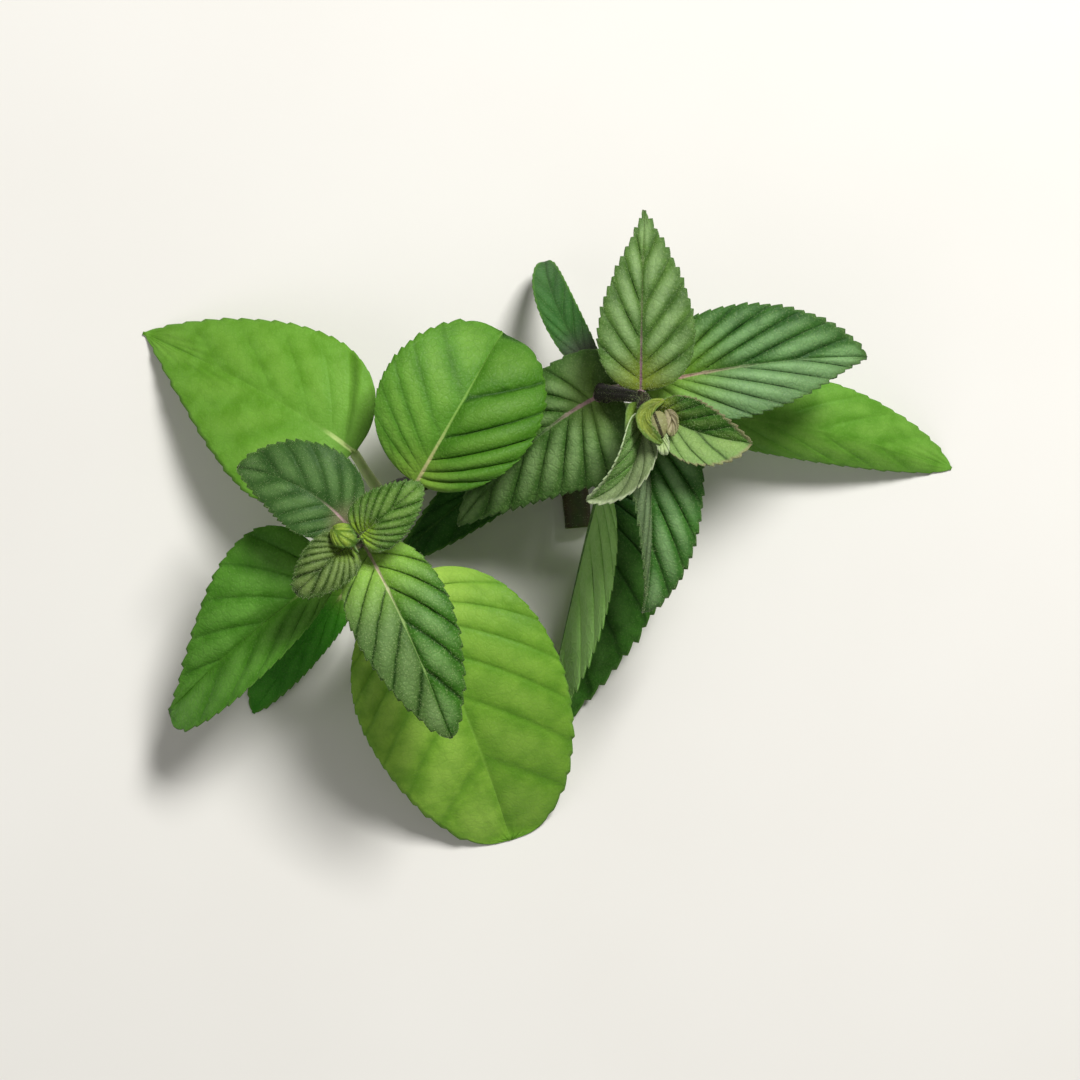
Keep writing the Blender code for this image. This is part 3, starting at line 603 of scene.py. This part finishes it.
def stalk_shell(leaf):
    """The leaf's stalk, from inside the stem's skin to the blade's foot and on under it as its rib.

    It is a closed round tube along a smooth route, each ring with its own radius, with flat end caps.
    """
    node, stem_half = np.array(leaf["node"][0]), leaf["node"][1]
    base = np.array(leaf["rib"][0], float)
    away = (base - node) / np.linalg.norm(base - node)
    start = node + away * stem_half * STALK_INSIDE_STEM
    place, _, up = rib_frame(leaf, np.array(STALK_ALONG_RIB))
    buried = STALK_BURIED * np.linspace(1, STALK_BURIED_AT_TIP, len(STALK_SHARES))
    sunk = leaf["stalk"] * np.array(STALK_SHARES) - buried
    under = laid_on_table(place - up * sunk[:, None], BLADE_THICKNESS / 2)
    places = np.vstack([start, (start + under[0]) / 2, under])
    radius = leaf["stalk"] * np.array(STALK_START + STALK_SHARES)
    rows = smooth_route(np.column_stack([places, radius]), STALK_STEP)
    route, radius = rows[:, :3], rows[:, 3]
    route[:, 2] = np.maximum(route[:, 2], radius)
    angle = np.arange(STALK_SIDES) / STALK_SIDES * 2 * np.pi
    points = route[:, None] + spokes(*carried_frames(route), angle) * radius[:, None, None]
    number = np.arange(len(route) * STALK_SIDES).reshape(-1, STALK_SIDES)
    faces = [(kept, STALK_MATERIAL) for kept in (wall_faces(number), number[:1], number[-1:, ::-1])]
    share = np.repeat(np.linspace(0, 1, len(route)), STALK_SIDES)
    return dict(points=points.reshape(-1, 3), faces=faces, marks={"length": share})


def stem_profile(angle):
    """A square with round corners and slightly hollow sides, which are one unit from its middle."""
    power = STEM_SQUARENESS
    square = (np.abs(np.cos(angle)) ** power + np.abs(np.sin(angle)) ** power) ** (-1 / power)
    return square * (1 - SIDE_HOLLOW * np.cos(2 * angle) ** HOLLOW_POWER)


def stem_shell(stations, nodes):
    """A square branch through the stations, swollen at the leaf nodes, with its cut end as a hollowed disc.

    The swelling is a bell curve along the branch. Fine lengthwise ridges run over the skin. The first
    material is the skin and the second the cut end's.
    """
    rows = smooth_route([(*place, half) for place, half in stations], STEM_STEP)
    route, half = rows[:, :3], rows[:, 3]
    near_node = np.zeros(len(route))
    for place, _ in nodes:
        distance = np.linalg.norm(route - np.array(place), axis=1)
        half = half * (1 + NODE_SWELLING * np.exp(-(distance / NODE_REACH) ** 2))
        near_node = np.maximum(near_node, np.exp(-(distance / (NODE_TINT_REACH * NODE_REACH)) ** 2))
    bottom, top = TIP_TINT_HEIGHTS
    near_node = np.maximum(near_node, ((route[:, 2] - bottom) / (top - bottom)).clip(0, 1))
    length = np.concatenate([[0], np.cumsum(np.linalg.norm(np.diff(route, axis=0), axis=1))])
    angle = np.arange(STEM_SIDES) / STEM_SIDES * 2 * np.pi
    ripple = SKIN_RIDGE * np.sin(angle * SKIN_RIDGES)
    ahead, around = LUMP_SCALES
    lumps = SKIN_LUMP * wave_noise(length[:, None] * ahead, np.sin(angle)[None, :] * around, SEED)
    reach = stem_profile(angle) + ripple + lumps
    ring = spokes(*carried_frames(route), angle)
    points = route[:, None] + ring * (reach * half[:, None])[..., None]
    centre = route[0]
    outward = -unit(route[1] - centre)
    inner = centre + (points[0] - centre) * CUT_SHARES[:, None, None] + outward * CUT_DEPTHS[:, None, None]
    number = np.arange(len(route) * STEM_SIDES).reshape(-1, STEM_SIDES)
    added = number.size + np.arange(inner.size // 3).reshape(-1, STEM_SIDES)
    disc_number = np.concatenate([number[:1], added])
    outer, nearer = disc_number[:-1], disc_number[1:]
    disc = np.stack([outer, np.roll(outer, -1, axis=1), np.roll(nearer, -1, axis=1), nearer], axis=-1)
    faces = [
        (wall_faces(number), 0), (number[-1:, ::-1], 0), (disc.reshape(-1, 4), 1), (disc_number[-1:], 1)]
    whole = np.concatenate([points.reshape(-1, 3), inner.reshape(-1, 3)])
    whole[:, 2] = np.maximum(whole[:, 2], 0.0)
    corner = np.abs(np.sin(2 * angle)) ** CORNER_POWER
    none = np.zeros(added.size)
    marks = {
        "near_node": np.append(np.repeat(near_node, STEM_SIDES), none),
        "corner": np.append(np.tile(corner, len(route)), none),
        "pith": np.append(np.zeros(number.size), np.repeat(1 - CUT_SHARES, STEM_SIDES)),
    }
    return dict(points=whole, faces=faces, marks=marks), dict(points=points, normal=ring)


def core_shell(centre, reach, sides=64, rings=32):
    """A bud's core: an ellipsoid as a grid of rings between two poles, marked along its closed slit."""
    turn = np.linspace(0, np.pi, rings + 1)[1:-1, None]
    angle = (np.arange(sides) / sides * 2 * np.pi)[None, :]
    grid = np.stack(np.broadcast_arrays(
        np.sin(turn) * np.cos(angle), np.sin(turn) * np.sin(angle), np.cos(turn)), axis=-1)
    number = np.arange(grid.shape[0] * sides).reshape(-1, sides)
    points = np.array(centre) + grid.reshape(-1, 3) * np.array(reach)
    faces = [(wall_faces(number), 0), (number[:1], 0), (number[-1:, ::-1], 0)]
    height = (points[:, 2] - points[:, 2].min()) / np.ptp(points[:, 2])
    slit = np.abs(points[:, 0] - centre[0] + SLIT_LEAN * (points[:, 1] - centre[1])) / SLIT_HALF
    return dict(points=points, faces=faces, marks={"length": height, "rib": slit, "crest": height})


def hair_shell(roots, normals, seed):
    """Short hairs: three-sided cones that stand on the roots and lean a seeded way, each closed below."""
    draw = np.random.default_rng(seed)
    count = len(roots)
    lean = unit(normals + HAIR_LEAN * draw.normal(size=(count, 3)))
    first = unit(np.cross(lean, ASIDE))
    angle = np.array([0, 2, 4]) * np.pi / 3
    feet = roots[:, None] + HAIR_ROOT * spokes(first, np.cross(lean, first), angle)
    tips = roots + lean * (HAIR_LENGTH * draw.uniform(*HAIR_SIZES, count))[:, None]
    points = np.concatenate([feet, tips[:, None]], axis=1).reshape(-1, 3)
    one = np.array([(0, 1, 3), (1, 2, 3), (2, 0, 3), (2, 1, 0)])
    faces = (np.arange(count)[:, None, None] * 4 + one).reshape(-1, 3)
    return dict(points=points, faces=[(faces, 0)], marks={})


def scattered(surface, count, seed):
    """Seeded places on a blade's upper side, with their normals. A share of them stands on the rim."""
    draw = np.random.default_rng(seed)
    top, normal = surface["top"], surface["normal"]
    rows, columns = top.shape[:2]
    row = draw.integers(1, rows - 2, count)
    column = draw.integers(1, columns - 2, count)
    on_rim = draw.uniform(size=count) < HAIRS_ON_RIM
    column = np.where(on_rim, np.where(draw.uniform(size=count) < 0.5, 0, columns - 2), column)
    a, b = draw.uniform(size=(2, count, 1))
    places = (top[row, column] * (1 - a) + top[row + 1, column] * a) * (1 - b) + (
        top[row, column + 1] * (1 - a) + top[row + 1, column + 1] * a) * b
    return places, normal[row, column]


# Meshes

def new_piece(name, shells, materials, replaced=()):
    """One mesh of several shells, whose marks become attributes, set on the root body in its place."""
    offset = 0
    points, loops, starts, kinds = [], [], [], []
    names = sorted({mark for shell in shells for mark in shell["marks"]})
    marks = {mark: [] for mark in names}
    loop_count = 0
    for shell in shells:
        points.append(shell["points"])
        for faces, kind in shell["faces"]:
            loops.append(faces.ravel() + offset)
            starts.append(loop_count + np.arange(len(faces)) * faces.shape[1])
            kinds.append(np.full(len(faces), kind))
            loop_count += faces.size
        for mark in names:
            marks[mark].append(shell["marks"].get(mark, np.zeros(len(shell["points"]))))
        offset += len(shell["points"])
    places = (np.concatenate(points) + SHIFT) * MM
    loops, starts, kinds = (np.concatenate(parts).astype(np.int32) for parts in (loops, starts, kinds))
    mesh = bpy.data.meshes.new(name)
    mesh.vertices.add(len(places))
    mesh.vertices.foreach_set("co", places.astype(np.float32).ravel())
    mesh.loops.add(len(loops))
    mesh.loops.foreach_set("vertex_index", loops)
    mesh.polygons.add(len(starts))
    mesh.polygons.foreach_set("loop_start", starts)
    mesh.polygons.foreach_set("material_index", kinds)
    mesh.polygons.foreach_set("use_smooth", np.ones(len(starts), bool))
    mesh.update(calc_edges=True)
    for mark, parts in marks.items():
        layer = mesh.attributes.new(mark, "FLOAT", "POINT")
        layer.data.foreach_set("value", np.concatenate(parts).astype(np.float32))
    for material in materials:
        mesh.materials.append(material)
    piece = bpy.data.objects.new(name, mesh)
    bpy.context.scene.collection.objects.link(piece)
    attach(piece, "root")
    if replaced:
        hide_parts(*replaced)
    return piece


# Materials

def add(tree, kind, inputs, **options):
    """Adds a node with its options. Each input takes a plain value, or a link from another node's output."""
    made = tree.nodes.new("ShaderNode" + kind)
    for option, value in options.items():
        setattr(made, option, value)
    for place, value in inputs.items():
        if isinstance(value, bpy.types.NodeSocket):
            tree.links.new(value, made.inputs[place])
        else:
            made.inputs[place].default_value = value
    return made.outputs


def new_tree(name):
    """A new material, its node tree, and the place on the object that its patterns read."""
    material = bpy.data.materials.new(name)
    material.use_nodes = True
    tree = material.node_tree
    tree.nodes.clear()
    return material, tree, add(tree, "TexCoord", {})["Object"]


def upper_skin(name, finish):
    """Mint leaf, upper side: living leaf tissue with a thin wax skin, satin, pressed in along its veins.

    Two greens in patches of about 3 mm, with a painted highlight on the pleats' tops and painted shade in
    the narrow valleys of the side veins, which waver a little. Each half takes a tint, partly its own colour
    and partly painted light and shade. Fine hairs and scent glands, about 0.35 mm apart, are painted in as
    pale glints.
    """
    material, tree, place = new_tree(f"mint_leaf_upper_skin_{name}")
    phase, across, rib, rim, crest, pleat, length, foot = (
        add(tree, "Attribute", {}, attribute_name=mark)["Fac"]
        for mark in ("phase", "across", "rib", "rim", "crest", "pleat", "length", "foot"))
    patches = add(tree, "TexNoise", {"Vector": place, "Scale": 330.0, "Detail": 3.0})[0]
    wobble = add(tree, "TexNoise", {"Vector": place, "Scale": 420.0, "Detail": 1.0})[0]
    grain = add(tree, "TexNoise", {"Vector": place, "Scale": 2600.0, "Detail": 2.0})[0]
    net = add(tree, "TexVoronoi", {"Vector": place, "Scale": 900.0}, feature="DISTANCE_TO_EDGE")[0]
    glands = add(tree, "TexVoronoi", {"Vector": place, "Scale": 2900.0}, feature="F1")[0]
    shifted = add(tree, "Math", {0: wobble, 1: 0.16, 2: phase}, operation="MULTIPLY_ADD")[0]
    centred = add(tree, "Math", {0: shifted, 1: 0.08}, operation="SUBTRACT")[0]
    to_vein = add(tree, "Math", {0: centred, 1: 0.5}, operation="PINGPONG")[0]
    # Painted shade in the narrow valleys of the side veins, kept off the rib and scaled by the pleats.
    valley = add(
        tree, "MapRange", {0: to_vein, 1: 0.01, 2: 0.13, 3: finish["valley_shade_strength"], 4: 0.0}, **SMOOTH)[0]
    from_rib = add(tree, "MapRange", {0: rib, 1: 0.5, 2: 3.0}, **SMOOTH)[0]
    valley = add(tree, "Math", {0: valley, 1: from_rib}, operation="MULTIPLY")[0]
    valley = add(tree, "Math", {0: valley, 1: pleat}, operation="MULTIPLY")[0]
    # The net of small veins takes a faint share of the same painted valley shade.
    net_line = add(tree, "MapRange", {0: net, 1: 0.0, 2: 0.1, 3: 0.12, 4: 0.0}, **SMOOTH)[0]
    patch = add(tree, "MapRange", {0: patches, 1: 0.3, 2: 0.7}, **SMOOTH)[0]
    # Painted highlight on the pleats' tops, broken up in patches.
    crest_highlight_share = add(
        tree, "MapRange", {0: crest, 1: 0.35, 2: 0.95, 3: 0.0, 4: finish["crest_highlight_strength"]}, **SMOOTH)[0]
    broken = add(tree, "MapRange", {0: patches, 1: 0.2, 2: 0.6, 3: 0.55, 4: 1.0})[0]
    crest_highlight_share = add(tree, "Math", {0: crest_highlight_share, 1: broken}, operation="MULTIPLY")[0]
    # The tint round the foot: the leaf's own yellow-green, and on a foot deep in a shaded fold, painted
    # shade.
    foot_tint_and_shade_share = add(
        tree, "MapRange", {0: foot, 1: 0.0, 2: finish["foot_reach"], 3: 0.9, 4: 0.0}, **SMOOTH)[0]
    rib_line = add(tree, "MapRange", {0: rib, 1: 0.7, 2: 1.5, 3: 0.9, 4: 0.0}, **SMOOTH)[0]
    rib_fade = add(
        tree, "MapRange", {0: length, 1: 0.1, 2: finish["rib_reach"], 3: 1.0, 4: finish["rib_end"]},
        **SMOOTH)[0]
    rib_line = add(tree, "Math", {0: rib_line, 1: rib_fade}, operation="MULTIPLY")[0]
    rib_along = add(tree, "MapRange", {0: length, 1: 0.05, 2: 0.5}, **SMOOTH)[0]
    deep, bright, crest_highlight_colour, valley_shade_colour, foot_tint_and_shade, rib_foot, rib_tip, margin, glint = (
        linear(code) for code in (*finish["greens"].split(), *finish["rib"], finish["rim"], PAINTED_GLINT))
    # The midrib's colour: its own, and on a rib deep in a shaded fold, painted shade.
    rib_colour_and_shade = add(tree, "Mix", {0: rib_along, 6: rib_foot, 7: rib_tip}, data_type="RGBA")[2]
    rim_line = add(tree, "MapRange", {0: rim, 1: 0.04, 2: 0.3, 3: 0.6, 4: 0.0}, **SMOOTH)[0]
    # The halves' tints: partly their own colour, partly painted light and shade on a half that faces the
    # light or turns from it, or lies in another leaf's shadow.
    (left_tint_and_shade, left_share), (right_tint_and_shade, right_share) = finish.get("half_tints_and_shade", NO_HALF_TINTS)
    rightness = add(tree, "MapRange", {0: across, 1: -0.4, 2: 0.4})[0]
    half_tint_and_shade = add(
        tree, "Mix", {0: rightness, 6: linear(left_tint_and_shade), 7: linear(right_tint_and_shade)}, data_type="RGBA")[2]
    half_tint_and_shade_share = add(tree, "MapRange", {0: rightness, 3: left_share, 4: right_share})[0]
    # Painted glints of the hairs and glands, as pale dots about 0.35 mm apart.
    glint_dots = add(
        tree, "MapRange", {0: glands, 1: 0.12, 2: 0.42, 3: finish["sparkle"], 4: 0.0}, **SMOOTH)[0]
    colour = deep
    for mask, over in (
        (patch, bright), (crest_highlight_share, crest_highlight_colour), (half_tint_and_shade_share, half_tint_and_shade), (foot_tint_and_shade_share, foot_tint_and_shade), (net_line, valley_shade_colour),
        (valley, valley_shade_colour), (rim_line, margin), (rib_line, rib_colour_and_shade), (glint_dots, glint),
    ):
        colour = add(tree, "Mix", {0: mask, 6: colour, 7: over}, data_type="RGBA")[2]
    height = add(tree, "Math", {0: net, 1: 5.0}, operation="MULTIPLY", use_clamp=True)[0]
    height = add(tree, "Math", {0: glands, 1: -0.9, 2: height}, operation="MULTIPLY_ADD")[0]
    height = add(tree, "Math", {0: grain, 1: 0.9, 2: height}, operation="MULTIPLY_ADD")[0]
    bump = add(tree, "Bump", {"Strength": finish["grain"], "Distance": 0.00008, "Height": height})[0]
    rough = add(tree, "MapRange", {0: grain, 1: 0.3, 2: 0.7, 3: 0.46, 4: 0.64})[0]
    shader = add(tree, "BsdfPrincipled", {
        "Base Color": colour, "Roughness": rough, "Normal": bump, "IOR": 1.43, "Specular IOR Level": 0.16,
        "Subsurface Weight": 0.06, "Subsurface Radius": (0.35, 0.6, 0.12), "Subsurface Scale": 0.0003,
    })
    add(tree, "OutputMaterial", {"Surface": shader[0]})
    return material


def lower_skin(name, kind):
    """Mint leaf, underside: matt and paler, its net of veins, meshes about 1.2 mm, standing out of it."""
    material, tree, place = new_tree(f"mint_leaf_underside_{name}")
    phase, rib = (add(tree, "Attribute", {}, attribute_name=mark)["Fac"] for mark in ("phase", "rib"))
    patches = add(tree, "TexNoise", {"Vector": place, "Scale": 300.0, "Detail": 3.0})[0]
    grain = add(tree, "TexNoise", {"Vector": place, "Scale": 2600.0, "Detail": 2.0})[0]
    net = add(tree, "TexVoronoi", {"Vector": place, "Scale": 850.0}, feature="DISTANCE_TO_EDGE")[0]
    to_vein = add(tree, "Math", {0: phase, 1: 0.5}, operation="PINGPONG")[0]
    vein = add(tree, "MapRange", {0: to_vein, 1: 0.01, 2: 0.08, 3: 0.65, 4: 0.0}, **SMOOTH)[0]
    net_line = add(tree, "MapRange", {0: net, 1: 0.0, 2: 0.12, 3: 0.35, 4: 0.0}, **SMOOTH)[0]
    rib_line = add(tree, "MapRange", {0: rib, 1: 1.0, 2: 2.5, 3: 0.7, 4: 0.0}, **SMOOTH)[0]
    patch = add(tree, "MapRange", {0: patches, 1: 0.3, 2: 0.7, 3: 0.0, 4: 0.4}, **SMOOTH)[0]
    colour = linear(kind["under"])
    for mask, over in (
        (patch, kind["net"]), (net_line, kind["net"]), (vein, kind["vein"]), (rib_line, kind["vein"]),
    ):
        colour = add(tree, "Mix", {0: mask, 6: colour, 7: linear(over)}, data_type="RGBA")[2]
    height = add(tree, "Math", {0: net, 1: -5.0}, operation="MULTIPLY")[0]
    height = add(tree, "Math", {0: height, 1: -1.0}, operation="MAXIMUM")[0]
    height = add(tree, "Math", {0: grain, 1: 0.7, 2: height}, operation="MULTIPLY_ADD")[0]
    bump = add(tree, "Bump", {"Strength": 0.6, "Distance": 0.00009, "Height": height})[0]
    shader = add(tree, "BsdfPrincipled", {
        "Base Color": colour, "Roughness": 0.68, "Normal": bump, "IOR": 1.43, "Specular IOR Level": 0.2,
        "Sheen Weight": 0.05, "Sheen Roughness": 0.5, "Subsurface Weight": 0.15,
        "Subsurface Radius": (0.35, 0.6, 0.12), "Subsurface Scale": 0.0006,
    })
    add(tree, "OutputMaterial", {"Surface": shader[0]})
    return material


def stalk_skin(name, kind):
    """Mint leaf stalk: smooth and satin, reddened by the sun at its foot and greener along the rib."""
    material, tree, place = new_tree(f"mint_stalk_skin_{name}")
    length = add(tree, "Attribute", {}, attribute_name="length")["Fac"]
    streaks = add(tree, "TexNoise", {"Vector": place, "Scale": 900.0, "Detail": 3.0})[0]
    greener = add(tree, "MapRange", {0: length, 1: 0.05, 2: 0.45}, **SMOOTH)[0]
    streak = add(tree, "MapRange", {0: streaks, 1: 0.35, 2: 0.7, 3: 0.0, 4: 0.4}, **SMOOTH)[0]
    foot, further = kind["stalk"]
    colour = linear(foot)
    for mask, over in ((greener, further), (streak, kind["under"])):
        colour = add(tree, "Mix", {0: mask, 6: colour, 7: linear(over)}, data_type="RGBA")[2]
    bump = add(tree, "Bump", {"Strength": 0.4, "Distance": 0.00006, "Height": streaks})[0]
    shader = add(tree, "BsdfPrincipled", {
        "Base Color": colour, "Roughness": 0.5, "Normal": bump, "IOR": 1.43, "Specular IOR Level": 0.3,
        "Subsurface Weight": 0.15, "Subsurface Radius": (0.5, 0.4, 0.15), "Subsurface Scale": 0.0006,
    })
    add(tree, "OutputMaterial", {"Surface": shader[0]})
    return material


def stem_skin():
    """Mint stem: square and satin, olive green, browned on its corners and purple-black at the nodes.

    Long streaks follow the skin, about 0.5 mm apart.
    """
    material, tree, place = new_tree("mint_stem_skin")
    near_node = add(tree, "Attribute", {}, attribute_name="near_node")["Fac"]
    corner = add(tree, "Attribute", {}, attribute_name="corner")["Fac"]
    patches = add(tree, "TexNoise", {"Vector": place, "Scale": 260.0, "Detail": 4.0})[0]
    grain = add(tree, "TexNoise", {"Vector": place, "Scale": 1900.0, "Detail": 3.0})[0]
    patch = add(tree, "MapRange", {0: patches, 1: 0.35, 2: 0.65}, **SMOOTH)[0]
    brown = add(tree, "Math", {0: corner, 1: 0.6}, operation="MULTIPLY")[0]
    spotted = add(tree, "MapRange", {0: grain, 1: 0.45, 2: 0.7, 3: 0.0, 4: 0.5}, **SMOOTH)[0]
    purple = add(tree, "MapRange", {0: near_node, 1: 0.15, 2: 0.75, 3: 0.0, 4: 0.92}, **SMOOTH)[0]
    colour = linear("2E3C12")
    for mask, over in ((patch, "40441E"), (brown, "38281C"), (spotted, "362A1C"), (purple, "1E1418")):
        colour = add(tree, "Mix", {0: mask, 6: colour, 7: linear(over)}, data_type="RGBA")[2]
    bump = add(tree, "Bump", {"Strength": 0.5, "Distance": 0.0001, "Height": grain})[0]
    shader = add(tree, "BsdfPrincipled", {
        "Base Color": colour, "Roughness": 0.48, "Normal": bump, "IOR": 1.43, "Specular IOR Level": 0.35,
        "Subsurface Weight": 0.08, "Subsurface Radius": (0.5, 0.4, 0.15), "Subsurface Scale": 0.0006,
    })
    add(tree, "OutputMaterial", {"Surface": shader[0]})
    return material


def cut_pith():
    """Cut end of the stem: moist pale pith with a darker green ring of vessels round it."""
    material, tree, place = new_tree("mint_stem_pith")
    pith = add(tree, "Attribute", {}, attribute_name="pith")["Fac"]
    cells = add(tree, "TexVoronoi", {"Vector": place, "Scale": 3500.0}, feature="F1")[0]
    inside = add(tree, "MapRange", {0: pith, 1: 0.1, 2: 0.3}, **SMOOTH)[0]
    spotted = add(tree, "MapRange", {0: cells, 1: 0.1, 2: 0.5, 3: 0.0, 4: 0.4}, **SMOOTH)[0]
    colour = linear("6A7C3C")
    for mask, over in ((inside, "C9CFA0"), (spotted, "A8B47C")):
        colour = add(tree, "Mix", {0: mask, 6: colour, 7: linear(over)}, data_type="RGBA")[2]
    bump = add(tree, "Bump", {"Strength": 0.6, "Distance": 0.0001, "Height": cells})[0]
    shader = add(
        tree, "BsdfPrincipled", {"Base Color": colour, "Roughness": 0.4, "Normal": bump, "IOR": 1.4})
    add(tree, "OutputMaterial", {"Surface": shader[0]})
    return material


def hair_skin():
    """Plant hair: one clear cell wall, so it is pale, bright and a little see-through."""
    material, tree, place = new_tree("mint_hair")
    patches = add(tree, "TexNoise", {"Vector": place, "Scale": 900.0})[0]
    colour = add(tree, "Mix", {0: patches, 6: linear("BCCA98"), 7: linear("86A05C")}, data_type="RGBA")[2]
    shader = add(tree, "BsdfPrincipled", {"Base Color": colour, "Roughness": 0.4, "IOR": 1.45})
    add(tree, "OutputMaterial", {"Surface": shader[0]})
    return material


def table_top():
    """Table: pale matt paint with a faint unevenness."""
    material, tree, place = new_tree("pale_matt_paint")
    patches = add(tree, "TexNoise", {"Vector": place, "Scale": 14.0, "Detail": 4.0})[0]
    colour = add(tree, "Mix", {0: patches, 6: linear("D8D6D0"), 7: linear("D0CDC6")}, data_type="RGBA")[2]
    shader = add(tree, "BsdfPrincipled", {"Base Color": colour, "Roughness": 0.85})
    add(tree, "OutputMaterial", {"Surface": shader[0]})
    return material


# Building

def tier(name):
    """Which pair from the tip a leaf belongs to, as its name says."""
    return name.split("_")[2]


def on_stem(name, leaf):
    """The leaf with the node that it grows from, and its rib's base moved there by FOOT_NEARER's share."""
    nodes = LEFT_NODES if name.startswith("left") else RIGHT_NODES
    node = nodes[-int(tier(name))]
    base, middle, tip = leaf["rib"]
    moved = np.array(base) + FOOT_NEARER.get(name, 0.0) * (np.array(node[0]) - np.array(base))
    return dict(leaf, node=node, rib=(tuple(moved), middle, tip))


def add_leaves(under_skins, stalk_skins):
    """Each leaf as one piece: its blade and its stalk. Returns the upper surfaces, for the hairs."""
    surfaces = {}
    for number, (name, leaf) in enumerate(LEAVES.items()):
        leaf = on_stem(name, leaf)
        finish = FINISHES[name]
        kind = finish["kind"]
        blade, surfaces[name] = blade_shell(leaf, finish["pleats"], COLUMNS, SEED + 10 * number)
        materials = [upper_skin(name, finish), under_skins[kind], stalk_skins[kind]]
        new_piece(f"{name}_blade", [blade, stalk_shell(leaf)], materials, [name])
    return surfaces


def add_buds(under_skin):
    """Each bud as one piece: its core and its tiny leaves, whose two halves are alike."""
    for name, bud in BUDS.items():
        centre = np.array(bud["centre"])
        finishes = sorted({small["finish"] for small in bud["leaves"]})
        shells = [core_shell(centre, bud["core"])]
        for number, small in enumerate(bud["leaves"]):
            rib = tuple(tuple(centre + np.array(point)) for point in small["rib"])
            alike = {key: (small[key], small[key]) for key in ("half", "fold", "curl")}
            kinds = (finishes.index(small["finish"]), len(finishes))
            blade, _ = blade_shell(
                dict(BUD_LEAF, rib=rib, **alike), FINISHES[small["finish"]]["pleats"], BUD_COLUMNS,
                SEED + number, kinds)
            shells.append(blade)
        materials = [upper_skin(f"{name}_{finish}", FINISHES[finish]) for finish in finishes]
        new_piece(f"{name}_leaves", shells, [*materials, under_skin], [name])


def add_stem():
    """The main stem with the right branch, and the left branch. Returns their surfaces, for the hairs."""
    right_run = [*MAIN_STEM, *RIGHT_NODES, RIGHT_END]
    left_run = [*LEFT_START, *LEFT_NODES, LEFT_END]
    skin, pith = stem_skin(), cut_pith()
    surfaces = []
    for name, run, nodes in (("main_stem", right_run, RIGHT_NODES), ("left_branch", left_run, LEFT_NODES)):
        shell, surface = stem_shell(run, nodes)
        new_piece(name, [shell], [skin, pith], ["stem"])
        surfaces.append(surface)
    return surfaces


def add_hairs(leaf_surfaces, stem_surfaces):
    """Hairs of the young leaves, and of both branches."""
    skin = hair_skin()
    for shoot in ("left", "right"):
        roots, normals = [], []
        for number, (name, surface) in enumerate(leaf_surfaces.items()):
            if name.startswith(shoot) and tier(name) in HAIRY_TIERS:
                places, directions = scattered(surface, HAIRS_ON_LEAF, SEED + 300 + number)
                roots.append(places)
                normals.append(directions)
        shell = hair_shell(np.concatenate(roots), np.concatenate(normals), SEED + 7)
        new_piece(f"{shoot}_leaf_hairs", [shell], [skin])
    roots, normals = [], []
    draw = np.random.default_rng(SEED + 8)
    for surface in stem_surfaces:
        rows, sides = surface["points"].shape[:2]
        row, place = draw.integers(0, rows, HAIRS_ON_STEM), draw.integers(0, sides, HAIRS_ON_STEM)
        found = surface["points"][row, place]
        clear = found[:, 2] > HAIR_LENGTH
        roots.append(found[clear])
        normals.append(surface["normal"][row, place][clear])
    shell = hair_shell(np.concatenate(roots), np.concatenate(normals), SEED + 9)
    new_piece("stem_hairs", [shell], [skin])


def add_stage():
    """The table, the softboxes that face the sprig, the room's light and the camera, straight above."""
    scene = bpy.context.scene
    bpy.ops.mesh.primitive_plane_add(size=4.0)
    floor = bpy.context.object
    floor.name = "table"
    floor.data.materials.append(table_top())
    for name, place, side, power in SOFTBOXES:
        data = bpy.data.lights.new(name, "AREA")
        data.size = side
        data.energy = power
        light = bpy.data.objects.new(name, data)
        light.location = place
        scene.collection.objects.link(light)
        light.rotation_mode = "QUATERNION"
        light.rotation_quaternion = (-light.location).to_track_quat("-Z", "Y")
    world = bpy.data.worlds.new("room")
    world.use_nodes = True
    world.node_tree.nodes["Background"].inputs["Color"].default_value = (1.0, 0.99, 0.97, 1.0)
    world.node_tree.nodes["Background"].inputs["Strength"].default_value = ROOM_LIGHT
    scene.world = world
    data = bpy.data.cameras.new("overhead_camera")
    data.lens = CAMERA_LENS
    data.sensor_width = 36.0
    data.clip_start = 0.01
    data.clip_end = 10.0
    camera = bpy.data.objects.new("overhead_camera", data)
    camera.location = [place * MM for place in CAMERA_PLACE]
    scene.collection.objects.link(camera)
    scene.camera = camera
    scene.view_settings.view_transform = "Standard"


def main():
    under_skins = {name: lower_skin(name, kind) for name, kind in KINDS.items()}
    stalk_skins = {name: stalk_skin(name, kind) for name, kind in KINDS.items()}
    leaf_surfaces = add_leaves(under_skins, stalk_skins)
    add_buds(under_skins["young"])
    stem_surfaces = add_stem()
    add_hairs(leaf_surfaces, stem_surfaces)
    add_stage()


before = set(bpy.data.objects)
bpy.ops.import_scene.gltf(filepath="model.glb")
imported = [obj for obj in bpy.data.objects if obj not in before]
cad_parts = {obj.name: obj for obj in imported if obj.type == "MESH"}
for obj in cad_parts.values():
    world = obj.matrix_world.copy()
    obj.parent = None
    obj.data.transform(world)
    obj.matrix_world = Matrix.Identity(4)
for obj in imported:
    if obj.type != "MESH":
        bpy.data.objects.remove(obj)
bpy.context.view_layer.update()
main()
